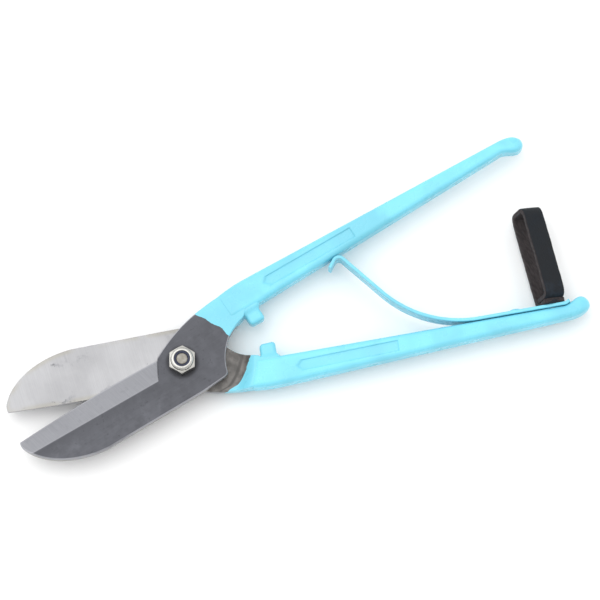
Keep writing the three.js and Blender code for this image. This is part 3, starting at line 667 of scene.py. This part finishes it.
def nut(across, bolt):
    inner, collar = across / 2 - 0.2, bolt + 2
    hexagon_top, top = NUT_Z + NUT_HEX, NUT_Z + NUT_HEX + NUT_COLLAR
    pocket_low, pocket_high = hexagon_top - 0.2, top - 0.5
    quarter = np.linspace(0, 1.57, 10)
    crown = [(collar - 1.4 * (1 - math.cos(a)), top - 1.5 * (1 - math.sin(a))) for a in quarter]
    rows = [
        (bolt + 0.1, 0, NUT_Z),
        (inner, 0, NUT_Z),
        (None, 1, NUT_Z),
        (None, 1, NUT_Z + 0.2),
        (None, 0, NUT_Z + NUT_HEX / 2),
        (None, -1, hexagon_top - 0.2),
        (None, -1, hexagon_top),
        (inner, 0, hexagon_top),
        (collar + 0.22, 0, hexagon_top + 0.01),
        (collar + 0.06, 0, hexagon_top + 0.08),
        (collar, 0, hexagon_top + 0.25),
        *[(r, 0, z) for r, z in crown],
        (bolt + 0.4, 0, top - 0.02),
        (bolt + 0.24, 0, top - 0.12),
        (bolt + 0.2, 0, top - 0.3),
        (bolt + 0.2, 0, pocket_high),
        (bolt + 1.25, 0, pocket_high),
        (bolt + 1.25, 0, pocket_low),
        (bolt + 0.1, 0, pocket_low),
    ]
    return hexagon_rows(across, rows)


def lock_ring(bolt):
    """The nylon ring's section: a square foot in the nut's pocket, and a lip that the bolt has pushed
    up, which follows the bolt's chamfer."""
    low = NUT_Z + NUT_HEX - 0.05
    high = NUT_Z + NUT_HEX + NUT_COLLAR - 0.65
    return turned([
        (bolt + 0.15, low),
        (bolt + 1.1, low),
        (bolt + 1.1, high),
        (bolt - 0.5, high),
        (bolt - 0.85, high - 0.05),
        (bolt - 0.95, high - 0.15),
        (bolt - 0.9, high - 0.3),
        (bolt + 0.15, CHAMFER_Z),
    ], BOLT_SIDES)


# ---- finishes ----


class Recipe:
    """A material's nodes, with short ways of adding and joining them. Patterns read the piece's Object
    coordinates, in metres, or values that the piece carries, in millimetres."""

    def __init__(self, name):
        self.material = bpy.data.materials.new(name)
        self.material.use_nodes = True
        self.tree = self.material.node_tree
        self.shader = self.tree.nodes["Principled BSDF"]
        self.place = self.tree.nodes.new("ShaderNodeTexCoord").outputs["Object"]

    def node(self, kind, inputs, **settings):
        made = self.tree.nodes.new(kind)
        for key, value in settings.items():
            setattr(made, key, value)
        for key, value in inputs.items():
            self.join(made.inputs[key], value)
        return made

    def join(self, socket, value):
        if isinstance(value, bpy.types.NodeSocket):
            self.tree.links.new(value, socket)
        else:
            socket.default_value = value

    def turned(self, angle, stretch):
        """Coordinates turned back by an angle about Z and divided by a length along each axis."""
        inputs = {"Vector": self.place, "Rotation": (0, 0, angle), "Scale": stretch}
        return self.node("ShaderNodeMapping", inputs, vector_type="TEXTURE").outputs[0]

    def noise(self, scale, detail=3.0, vector=None, rough=0.5):
        inputs = {"Vector": vector or self.place, "Scale": scale, "Detail": detail, "Roughness": rough}
        return self.node("ShaderNodeTexNoise", inputs).outputs[0]

    def cells(self, scale):
        inputs = {"Vector": self.place, "Scale": scale}
        return self.node("ShaderNodeTexVoronoi", inputs).outputs["Distance"]

    def carried(self, key):
        return self.node("ShaderNodeAttribute", {}, attribute_name=key).outputs["Fac"]

    def math(self, operation, a, b=0.0):
        return self.node("ShaderNodeMath", {0: a, 1: b}, operation=operation).outputs[0]

    def band(self, value, low, high, to_low=0.0, to_high=1.0):
        """The cubic step of a value between two limits, given as two results."""
        inputs = {"Value": value, "From Min": low, "From Max": high, "To Min": to_low, "To Max": to_high}
        return self.node("ShaderNodeMapRange", inputs, interpolation_type="SMOOTHSTEP").outputs[0]

    def mix(self, share, low, high):
        colours = [(*c[:3], 1) if not isinstance(c, bpy.types.NodeSocket) else c for c in (low, high)]
        made = self.node("ShaderNodeMix", {0: share, 6: colours[0], 7: colours[1]}, data_type="RGBA")
        return made.outputs[2]

    def blend(self, share, low, high):
        made = self.node("ShaderNodeMix", {0: share, 2: low, 3: high}, data_type="FLOAT")
        return made.outputs[0]

    def bump(self, height, distance, normal=None):
        """Relief whose full height is the given distance, in metres."""
        inputs = {"Height": height, "Distance": distance}
        if normal is not None:
            inputs["Normal"] = normal
        return self.node("ShaderNodeBump", inputs).outputs[0]

    def finish(self, **sockets):
        for key, value in sockets.items():
            self.join(self.shader.inputs[key.replace("_", " ")], value)
        return self.material


def shade(colour, factor):
    return tuple(min(c * factor, 1.0) for c in colour[:3])


def paint_layers(r, colour):
    """Sky-blue paint: broad soft patches a little deeper in tone, and fine specks of dust in it."""
    patches = r.noise(38, 4)
    tone = r.mix(r.band(patches, 0.35, 0.68), shade(colour, 0.93), shade(colour, 1.04))
    specks = r.band(r.noise(1100, 2), 0.72, 0.78)
    tone = r.mix(r.math("MULTIPLY", specks, 0.12), tone, shade(colour, 0.6))
    rough = r.band(r.noise(120, 4), 0.3, 0.7, 0.22, 0.36)
    peel = r.bump(r.noise(520, 2), 0.00004)
    forged = r.bump(r.noise(60, 2), 0.00022, peel)
    return tone, rough, forged


def sky_paint(finishes, name, has_rim):
    """The paint alone, lighter along the edges with a painted highlight."""
    r = Recipe(name)
    tone, rough, relief = paint_layers(r, finishes.paint)
    if has_rim:
        # painted highlight: lighter paint towards the edges, broken up by noise
        thin = r.math("MULTIPLY", r.band(r.carried("rim"), 1.1, 0.2), r.band(r.noise(45, 5), 0.40, 0.62))
        tone = r.mix(r.math("MULTIPLY", thin, 0.5), tone, shade(finishes.paint, 1.25))
    return r.finish(Base_Color=tone, Roughness=rough, Normal=relief)


def blade_steel(finishes, name, angle):
    """The forging's bare and painted faces. Dark heat scale on the outer face with a painted shadow of the
    nut round the pivot, a lighter ground bevel, a bright flat-ground shear face that dulls towards the
    neck, and paint beyond its edge."""
    r = Recipe(name)
    rim, bevel_edge = r.carried("rim"), r.carried("bevel_edge")
    outer, paint_edge = r.carried("outer_face"), r.carried("paint_edge")
    along_blade = r.turned(angle, (1 / 25, 1 / 1500, 1 / 1500))
    across_blade = r.turned(angle + 0.15, (1 / 2600, 1 / 70, 1 / 70))
    long_lines = r.noise(1.0, 3, along_blade)
    cross_lines = r.noise(1.0, 3, across_blade)
    clouds = r.noise(36, 5, rough=0.6)
    mottle = r.noise(260, 4)

    # outer face: scale, with faint lengthwise marks and a painted highlight along the outline
    scale = r.mix(r.band(clouds, 0.32, 0.68), shade(finishes.scale, 0.78), shade(finishes.scale, 1.3))
    scale = r.mix(r.band(mottle, 0.4, 0.7, 0.0, 0.25), scale, shade(finishes.scale, 1.5))
    worn = r.band(r.noise(58, 5, rough=0.65), 0.50, 0.68, 0.0, 0.4)
    scale = r.mix(worn, scale, shade(finishes.scale, 1.7))
    scale = r.mix(r.band(long_lines, 0.35, 0.7, 0.0, 0.12), scale, shade(finishes.scale, 1.6))
    scale = r.mix(r.band(r.noise(480, 3), 0.62, 0.74, 0.0, 0.45), scale, shade(finishes.scale, 0.55))
    scale = r.mix(r.band(bevel_edge, -10, -0.5, 0.0, 0.5), scale, shade(finishes.scale, 0.74))
    # painted shadow of the nut: the outer face darkens within 9.6 mm of the pivot
    scale = r.mix(r.band(r.carried("nut_shadow_reach"), 9.6, 7.2, 0.0, 0.7), scale, shade(finishes.scale, 0.3))
    # painted highlight: a light line along the outline of the outer face
    outline_highlight = r.math("MULTIPLY", r.band(rim, 0.55, 0.3), r.band(r.noise(60, 4), 0.25, 0.5, 0.4, 0.9))
    scale = r.mix(outline_highlight, scale, shade(finishes.bevel, 1.3))
    bevel = r.mix(r.band(cross_lines, 0.3, 0.72), shade(finishes.bevel, 0.95), shade(finishes.bevel, 1.06))
    bevel = r.mix(r.band(clouds, 0.50, 0.75, 0.0, 0.35), bevel, shade(finishes.bevel, 0.78))
    bevel = r.mix(r.band(mottle, 0.60, 0.75, 0.0, 0.4), bevel, shade(finishes.bevel, 0.75))
    # painted highlight: the bevel lightens along the cutting edge
    bevel = r.mix(r.band(rim, 0.8, 0.25, 0.0, 0.6), bevel, shade(finishes.bevel, 1.6))
    in_bevel = r.band(bevel_edge, -0.06, 0.06)
    # painted highlight: a light line along the ridge between the outer face and the bevel
    crease = r.math("MULTIPLY", r.band(bevel_edge, -0.45, -0.05), r.band(bevel_edge, 0.35, 0.0))
    face = r.mix(in_bevel, scale, bevel)
    face = r.mix(r.math("MULTIPLY", crease, 0.3), face, shade(finishes.bevel, 1.35))

    # shear face: bright ground steel, a few smudges, a straw tint by the edge, dull towards the neck,
    # and a painted shade line at the foot of the recess wall
    shear = r.mix(r.band(cross_lines, 0.3, 0.7), shade(finishes.shear, 0.96), shade(finishes.shear, 1.03))
    shear = r.mix(r.band(clouds, 0.45, 0.7, 0.0, 0.5), shear, shade(finishes.shear, 0.88))
    smudge = r.band(r.noise(62, 5, rough=0.65), 0.60, 0.72)
    shear = r.mix(r.math("MULTIPLY", smudge, 0.5), shear, shade(finishes.scale, 1.5))
    spots = r.band(r.noise(120, 4, rough=0.7), 0.65, 0.72)
    shear = r.mix(r.math("MULTIPLY", spots, 0.65), shear, shade(finishes.scale, 0.9))
    straw = r.math("MULTIPLY", r.band(rim, 3.0, 0.8), r.band(r.noise(50, 3), 0.4, 0.6, 0.0, 0.35))
    shear = r.mix(straw, shear, finishes.straw)
    dulled = r.band(r.math("ADD", paint_edge, r.band(clouds, 0.3, 0.7, -2.5, 2.5)), -17, -8)
    neck_stain_and_shade = r.mix(r.band(mottle, 0.35, 0.65), shade(finishes.neck, 0.7), shade(finishes.neck, 1.35))
    # painted shade: a dark line in the crease at the foot of the recess wall
    foot_line = r.math("MULTIPLY", r.band(paint_edge, -5.2, -4.2), r.band(paint_edge, -2.4, -3.6))
    neck_stain_and_shade = r.mix(r.math("MULTIPLY", foot_line, 0.8), neck_stain_and_shade, shade(finishes.neck, 0.4))
    shear = r.mix(dulled, shear, neck_stain_and_shade)
    is_outer = r.band(outer, 0.4, 0.6)
    steel = r.mix(is_outer, shear, face)

    # paint beyond its own ragged edge
    ragged = r.math("ADD", paint_edge, r.band(r.noise(160, 4), 0.2, 0.8, -0.55, 0.55))
    painted = r.band(ragged, -0.12, 0.12)
    tone, paint_rough, relief = paint_layers(r, finishes.paint)
    colour = r.mix(painted, steel, tone)
    ground = r.blend(is_outer, 0.34, r.blend(in_bevel, 0.46, 0.38))
    rough = r.math("ADD", ground, r.band(clouds, 0.3, 0.7, -0.05, 0.08))
    rough = r.blend(painted, rough, paint_rough)
    bare = r.blend(dulled, 0.8, r.blend(is_outer, 0.25, 0.8))
    metal = r.blend(painted, bare, 0.0)
    lines = r.blend(in_bevel, long_lines, cross_lines)
    marked = r.bump(lines, 0.00002, relief)
    return r.finish(Base_Color=colour, Roughness=rough, Metallic=metal, Normal=marked)


def strap_leather(finishes, name):
    """Dressed black leather: fine grain, greyer where it is bent with crazing and a painted highlight,
    brown-grey on the inside of the loop and on its rough cut edge."""
    r = Recipe(name)
    cut = r.band(r.carried("cut"), 0.35, 0.65)
    bend = r.carried("bend")
    grain = r.cells(1500)
    pores = r.noise(2600, 2)
    clouds = r.noise(75, 5)
    face = r.mix(r.band(clouds, 0.3, 0.7), shade(finishes.leather, 0.75), shade(finishes.leather, 1.35))
    face = r.mix(r.band(grain, 0.45, 0.75, 0.0, 0.4), face, shade(finishes.leather, 0.45))
    scuffs = r.band(r.noise(1.0, 5, r.turned(0.25, (1 / 420, 1 / 70, 1 / 420))), 0.58, 0.72)
    face = r.mix(r.math("MULTIPLY", scuffs, 0.3), face, shade(finishes.leather, 2.6))
    # crazing and a painted highlight: the leather lightens in noisy patches near the foot of the loop, where
    # it bends
    crazing_and_highlight = r.math("MULTIPLY", bend, r.band(r.noise(300, 5, rough=0.7), 0.4, 0.65))
    face = r.mix(r.math("MULTIPLY", crazing_and_highlight, 0.55), face, shade(finishes.leather, 4.0))
    fibre = r.noise(1.0, 4, r.turned(0.25, (1 / 1500, 1 / 260, 1 / 1500)))
    dark_fibre, pale_fibre = shade(finishes.cut_edge, 0.45), shade(finishes.cut_edge, 0.95)
    rough_side = r.mix(r.band(fibre, 0.35, 0.65), dark_fibre, pale_fibre)
    face = r.mix(r.band(r.carried("flesh"), 0.4, 0.9), face, rough_side)
    edge = r.mix(r.band(fibre, 0.3, 0.7), shade(finishes.cut_edge, 0.6), shade(finishes.cut_edge, 1.35))
    colour = r.mix(cut, face, edge)
    rough = r.blend(cut, r.band(clouds, 0.3, 0.7, 0.55, 0.72), 0.9)
    fine = r.bump(r.math("SUBTRACT", pores, grain), 0.00009)
    frayed = r.bump(r.math("MULTIPLY", fibre, cut), 0.0004, fine)
    return r.finish(Base_Color=colour, Roughness=rough, Normal=frayed, Specular_IOR_Level=0.3)


def plated_steel(finishes, name, worn=0.0):
    """Bright zinc plate with soft smudges, tiny pits and turning marks; worn plate shows tan-grey."""
    r = Recipe(name)
    clouds = r.noise(260, 4)
    tone = r.mix(r.band(clouds, 0.3, 0.7), shade(finishes.plate, 0.86), shade(finishes.plate, 1.08))
    pits = r.band(r.noise(1500, 3), 0.62, 0.72)
    tone = r.mix(r.math("MULTIPLY", pits, 0.45), tone, shade(finishes.plate, 0.35))
    if worn:
        share = r.band(r.noise(420, 5), 0.25, 0.6, worn * 0.6, worn)
        tone = r.mix(share, tone, finishes.worn)
    rough = r.band(clouds, 0.3, 0.7, 0.2 + 0.2 * worn, 0.34 + 0.2 * worn)
    marks = r.bump(r.noise(2200, 2), 0.00002)
    return r.finish(Base_Color=tone, Roughness=rough, Metallic=1.0 - 0.35 * worn, Normal=marks)


def nylon(finishes, name):
    """Dark navy nylon, matt, with the faint flow marks of moulding."""
    r = Recipe(name)
    flow = r.noise(500, 3)
    tone = r.mix(r.band(flow, 0.3, 0.7), shade(finishes.nylon, 0.8), shade(finishes.nylon, 1.3))
    rough = r.band(flow, 0.3, 0.7, 0.4, 0.55)
    return r.finish(Base_Color=tone, Roughness=rough, Normal=r.bump(flow, 0.00003))


# ---- what a user would change ----


def length(name, description, default):
    kind = {"min": 0.0, "unit": "LENGTH", "subtype": "DISTANCE", "precision": 4}
    return FloatProperty(name=name, description=description, default=default, **kind)


def turn_of(name, description, degrees):
    return FloatProperty(
        name=name, description=description, default=math.radians(degrees), unit="ROTATION", subtype="ANGLE"
    )


def tint(name, description, red, green, blue):
    """A colour property, given as the bytes that a screen shows."""
    shares = [v / 255 for v in (red, green, blue)]
    default = [v / 12.92 if v <= 0.04045 else ((v + 0.055) / 1.055) ** 2.4 for v in shares]
    return FloatVectorProperty(
        name=name, description=description, default=default, size=3, min=0.0, max=1.0, subtype="COLOR"
    )


class SnipsBlade(bpy.types.PropertyGroup):
    length: length("Blade length", "From the pivot axis to the nose of the blade", 0.0933)
    thickness: length("Plate thickness", "Of the blade and head, from shear face to outer face", 0.0052)
    edge_round: length("Edge rounding", "Radius along the outline of the outer face", 0.0005)
    bevel_slope: turn_of("Bevel slope", "Of the ground bevel to the shear face", 23.2)


class SnipsHandle(bpy.types.PropertyGroup):
    thickness: length("Handle thickness", "Of the bar, face to face", 0.011)
    edge_radius: length("Edge radius", "Rounding of the bar's four long edges", 0.0026)
    knob_radius: length("Knob radius", "Of the rounded end, seen from the face", 0.0045)
    panel_depth: length("Panel depth", "How far the plain panel is sunk into each face", 0.0007)


class SnipsLeaf(bpy.types.PropertyGroup):
    thickness: length("Leaf thickness", "Of the painted spring", 0.0017)
    width: length("Leaf width", "Of the painted spring", 0.0104)
    crest_radius: length("Crest radius", "Of the bend that bears on the other handle", 0.003)


class SnipsStrap(bpy.types.PropertyGroup):
    leather: length("Leather", "Thickness of the strap", 0.0026)
    width: length("Strap width", "Of the strip that the loop is made of", 0.0112)
    height: length("Loop height", "From the leaf to the top of the loop", 0.0525)
    lean: turn_of("Lean", "Of the loop towards the blades", 4.4)
    swivel: turn_of("Swivel", "Of the loop about its rivet", 16.3)


class SnipsPivot(bpy.types.PropertyGroup):
    bolt_radius: length("Bolt radius", "Of the pivot bolt's shank", 0.004)
    across: length("Across flats", "Of the nut and the bolt head", 0.013)


class SnipsFinishes(bpy.types.PropertyGroup):
    paint: tint("Paint", "Of the handles and the leaf", 118, 203, 223)
    scale: tint("Heat scale", "Outer face of head and blades", 82, 83, 88)
    bevel: tint("Ground bevel", "Of the blades", 143, 144, 149)
    shear: tint("Shear face", "Flat-ground inner face of the blades", 154, 154, 156)
    straw: tint("Straw tint", "Left by the grinding heat along the cutting edge", 142, 137, 118)
    neck: tint("Recess", "Unground steel by the neck", 96, 93, 90)
    plate: tint("Zinc plate", "Of nut, bolt and rivets", 190, 189, 184)
    worn: tint("Worn plate", "On the end of the bolt", 120, 115, 105)
    leather: tint("Leather", "Dressed face of the strap", 12, 19, 26)
    cut_edge: tint("Cut leather", "Edge and inside of the strap", 60, 54, 55)
    nylon: tint("Nylon", "Of the nut's locking ring", 22, 30, 56)


# ---- one operator for each piece or group of like pieces ----


class SNIPS_OT_blades(bpy.types.Operator):
    """Makes both blades, with their heads and necks"""

    bl_idname = "snips.blades"
    bl_label = "Blades"

    def execute(self, context):
        scene = context.scene
        rings, values = blade_surface(scene.snips_blade)
        for half, angle in (("front", HALF_OPENING), ("rear", -HALF_OPENING)):
            steel = blade_steel(scene.snips_finishes, f"{half} blade steel", angle)
            carried = {key: [value] for key, value in values.items()}
            parts = [placed(rings, half)]
            piece(f"{half}_blade", parts, steel, half, [f"{half}_half"], "painted_forging", **carried)
        return {"FINISHED"}


class SNIPS_OT_handles(bpy.types.Operator):
    """Makes both handles, with their knobs and stop lugs"""

    bl_idname = "snips.handles"
    bl_label = "Handles"

    def execute(self, context):
        scene = context.scene
        paint = sky_paint(scene.snips_finishes, "handle paint", True)
        bar, rim = handle_surface(scene.snips_handle)
        lug = lug_surface()
        rims = [rim, np.full(lug.shape[0] * lug.shape[1] + 2, 2.0)]
        for half in ("front", "rear"):
            parts = [placed(bar, half), placed(lug, half)]
            piece(f"{half}_handle", parts, paint, half, [f"{half}_half"], "painted_forging", rim=rims)
        return {"FINISHED"}


class SNIPS_OT_leaf(bpy.types.Operator):
    """Makes the leaf spring and the rivet that holds it"""

    bl_idname = "snips.leaf"
    bl_label = "Leaf spring"

    def execute(self, context):
        scene = context.scene
        leaf = scene.snips_leaf
        rings, rim = leaf_surface(leaf)
        start = on_half(np.array([LEAF_BEND_START, 0.0, 0.0]), "rear")
        end = on_half(np.array([*LEAF_BEND_END, 0.0]), "rear")
        bends = ("rear", "leaf", start, end)
        paint = sky_paint(scene.snips_finishes, "leaf paint", True)
        parts = [placed(rings, "rear")]
        piece("sprung_leaf", parts, paint, bends, ["leaf_spring"], "painted_spring", rim=[rim])

        seat = 500 * leaf.thickness
        arc = np.linspace(0, np.pi / 2, 12)
        dome = [(3.3 * math.cos(a), seat + 0.35 + 1.15 * math.sin(a)) for a in arc[:-1]]
        profile = [(0.02, -4), (2, -4), (2, seat + 0.1), (3.2, seat + 0.1), *dome, (0.02, seat + 1.5)]
        rings = tail_turned(profile, RIVET_X, leaf)
        paint = sky_paint(scene.snips_finishes, "rivet paint", False)
        piece("round_rivet", [placed(rings, "rear")], paint, "rear", ["leaf_rivet"], "painted_spring")
        return {"FINISHED"}


class SNIPS_OT_strap(bpy.types.Operator):
    """Makes the keeper strap, its rivet and the burr inside the loop"""

    bl_idname = "snips.strap"
    bl_label = "Keeper strap"

    def execute(self, context):
        scene = context.scene
        leaf, strap = scene.snips_leaf, scene.snips_strap
        rings, cut, bend, flesh = strap_surface(strap, leaf, scene.snips_handle)
        foot = leaf_tail(STRAP_X, 1000 * leaf.thickness)
        start = on_half(np.array([STRAP_X, -foot - STRAP_FOLD_LOW, 0.0]), "rear")
        end = on_half(np.array([STRAP_X, -foot - STRAP_FOLD_HIGH, 0.0]), "rear")
        leather = strap_leather(scene.snips_finishes, "strap leather")
        bends = ("rear", "strap", start, end)
        parts = [placed(rings, "rear")]
        carried = {"cut": [cut], "bend": [bend], "flesh": [flesh]}
        piece("leather_loop", parts, leather, bends, ["keeper_strap"], "strap_leather", 50, **carried)

        plate = plated_steel(scene.snips_finishes, "rivet plate", 0.3)
        seat = 500 * leaf.thickness
        top = seat + 0.2 + 2000 * strap.leather
        head = [(0.02, -seat - 0.8), (2.9, -seat - 0.8), (3.2, -seat - 0.55), (3.2, -seat - 0.1)]
        end = [(1.6, top + 1.25), (1.45, top + 1.5), (1.1, top + 1.6), (0.02, top + 1.65)]
        rings = tail_turned([*head, (1.6, -seat - 0.1), *end], STRAP_X, leaf)
        piece("lap_rivet", [placed(rings, "rear")], plate, "rear", ["strap_rivet"], "plated_steel")
        outside = [(1.7, top), (3.3, top), (3.4, top + 0.12), (3.4, top + 0.5), (3.1, top + 0.8)]
        inside = [(2.6, top + 0.9), (1.9, top + 0.9), (1.7, top + 0.75)]
        rings = tail_turned([*outside, *inside], STRAP_X, leaf)
        piece("lap_burr", [placed(rings, "rear", True)], plate, "rear", ["strap_burr"], "plated_steel")
        return {"FINISHED"}


class SNIPS_OT_pivot(bpy.types.Operator):
    """Makes the pivot bolt, its nut and the nut's locking ring"""

    bl_idname = "snips.pivot"
    bl_label = "Pivot"

    def execute(self, context):
        scene = context.scene
        across, bolt = 1000 * scene.snips_pivot.across, 1000 * scene.snips_pivot.bolt_radius
        finishes = scene.snips_finishes
        steel = plated_steel(finishes, "bolt steel", 0.9)
        parts = [tube(bolt_head(across)), tube(bolt_end(bolt))]
        piece("turned_bolt", parts, steel, "rear", ["pivot_bolt"], "plated_steel")
        bright = plated_steel(finishes, "nut plate")
        piece("hex_nut", [tube(nut(across, bolt), True)], bright, "rear", ["pivot_nut"], "plated_steel")
        moulded = nylon(finishes, "ring nylon")
        piece("nylon_ring", [tube(lock_ring(bolt), True)], moulded, "rear", ["nut_lock_ring"], "nylon")
        return {"FINISHED"}


def studio_world():
    """A white dome that dims towards the near side, as from a darker room behind the camera."""
    world = bpy.data.worlds.new("studio")
    world.use_nodes = True
    nodes, links = world.node_tree.nodes, world.node_tree.links
    direction = nodes.new("ShaderNodeTexCoord").outputs["Generated"]
    near = nodes.new("ShaderNodeVectorMath")
    near.operation = "DOT_PRODUCT"
    near.inputs[1].default_value = (-0.36, -0.93, 0.0)
    level = nodes.new("ShaderNodeMapRange")
    level.inputs["From Min"].default_value = 0.15
    level.inputs["From Max"].default_value = 0.85
    level.inputs["To Min"].default_value = 1.22
    level.inputs["To Max"].default_value = 0.8
    links.new(direction, near.inputs[0])
    links.new(near.outputs["Value"], level.inputs["Value"])
    links.new(level.outputs[0], nodes["Background"].inputs["Strength"])
    nodes["Background"].inputs["Color"].default_value = (1.0, 1.0, 1.0, 1)
    return world


class SNIPS_OT_stage(bpy.types.Operator):
    """Makes the pale floor, the soft light and the camera"""

    bl_idname = "snips.stage"
    bl_label = "Stage"

    def execute(self, context):
        scene = context.scene
        size, level = 6.0, -0.0004
        corners = [(-size, -size, level), (size, -size, level), (size, size, level), (-size, size, level)]
        mesh = bpy.data.meshes.new("floor")
        mesh.from_pydata(corners, [], [(0, 1, 2, 3)])
        r = Recipe("pale floor")
        cloudy = r.mix(r.noise(2, 2), (0.93, 0.93, 0.93), (0.95, 0.95, 0.95))
        mesh.materials.append(r.finish(Base_Color=cloudy, Roughness=0.9))
        floor = bpy.data.objects.new("floor", mesh)
        scene.collection.objects.link(floor)

        scene.world = studio_world()

        middle = Vector((0.06, 0.0, 0.0))
        data = bpy.data.lights.new("key light", "AREA")
        data.shape, data.size, data.energy = "SQUARE", 1.5, 8.5
        light = bpy.data.objects.new("key light", data)
        light.location = (-0.3, 0.5, 1.5)
        light.rotation_mode = "QUATERNION"
        light.rotation_quaternion = (middle - light.location).to_track_quat("-Z", "Y")
        scene.collection.objects.link(light)

        azimuth, elevation, distance = math.radians(-21.35), math.radians(76), 2.2
        aim = Vector((0.0691, 0.0097, SHEAR_Z / 1000))
        flat = math.cos(elevation)
        back = Vector((math.sin(azimuth) * flat, -math.cos(azimuth) * flat, math.sin(elevation)))
        data = bpy.data.cameras.new("camera")
        seen = 0.312
        data.sensor_width = 36
        data.lens = data.sensor_width * distance / seen
        camera = bpy.data.objects.new("camera", data)
        camera.location = aim + distance * back
        camera.rotation_mode = "QUATERNION"
        camera.rotation_quaternion = (-back).to_track_quat("-Z", "Y")
        scene.collection.objects.link(camera)
        scene.camera = camera
        scene.view_settings.view_transform = "Standard"
        return {"FINISHED"}


class SNIPS_PT_sidebar(bpy.types.Panel):
    """Lists the snips' pieces and what can be set for them"""

    bl_label = "Tinner's snips"
    bl_idname = "SNIPS_PT_sidebar"
    bl_space_type = "VIEW_3D"
    bl_region_type = "UI"
    bl_category = "Snips"

    def draw(self, context):
        for key, operators in PANEL_ROWS:
            box = self.layout.box()
            if key:
                group = getattr(context.scene, key)
                for name in group.__annotations__:
                    box.prop(group, name)
            for operator in operators:
                box.operator(operator.bl_idname)


GROUPS = {
    "snips_blade": SnipsBlade,
    "snips_handle": SnipsHandle,
    "snips_leaf": SnipsLeaf,
    "snips_strap": SnipsStrap,
    "snips_pivot": SnipsPivot,
    "snips_finishes": SnipsFinishes,
}
PANEL_ROWS = [
    ("snips_blade", [SNIPS_OT_blades]),
    ("snips_handle", [SNIPS_OT_handles]),
    ("snips_leaf", [SNIPS_OT_leaf]),
    ("snips_strap", [SNIPS_OT_strap]),
    ("snips_pivot", [SNIPS_OT_pivot]),
    ("snips_finishes", []),
    ("", [SNIPS_OT_stage]),
]
OPERATORS = [operator for _, row in PANEL_ROWS for operator in row]


def register():
    for each in (*GROUPS.values(), *OPERATORS, SNIPS_PT_sidebar):
        bpy.utils.register_class(each)
    for key, group in GROUPS.items():
        setattr(bpy.types.Scene, key, PointerProperty(type=group))


def unregister():
    for key in GROUPS:
        delattr(bpy.types.Scene, key)
    for each in reversed((*GROUPS.values(), *OPERATORS, SNIPS_PT_sidebar)):
        bpy.utils.unregister_class(each)


def main():
    register()
    bpy.ops.snips.blades()
    bpy.ops.snips.handles()
    bpy.ops.snips.leaf()
    bpy.ops.snips.strap()
    bpy.ops.snips.pivot()
    bpy.ops.snips.stage()


if __name__ == "__main__":
    main()
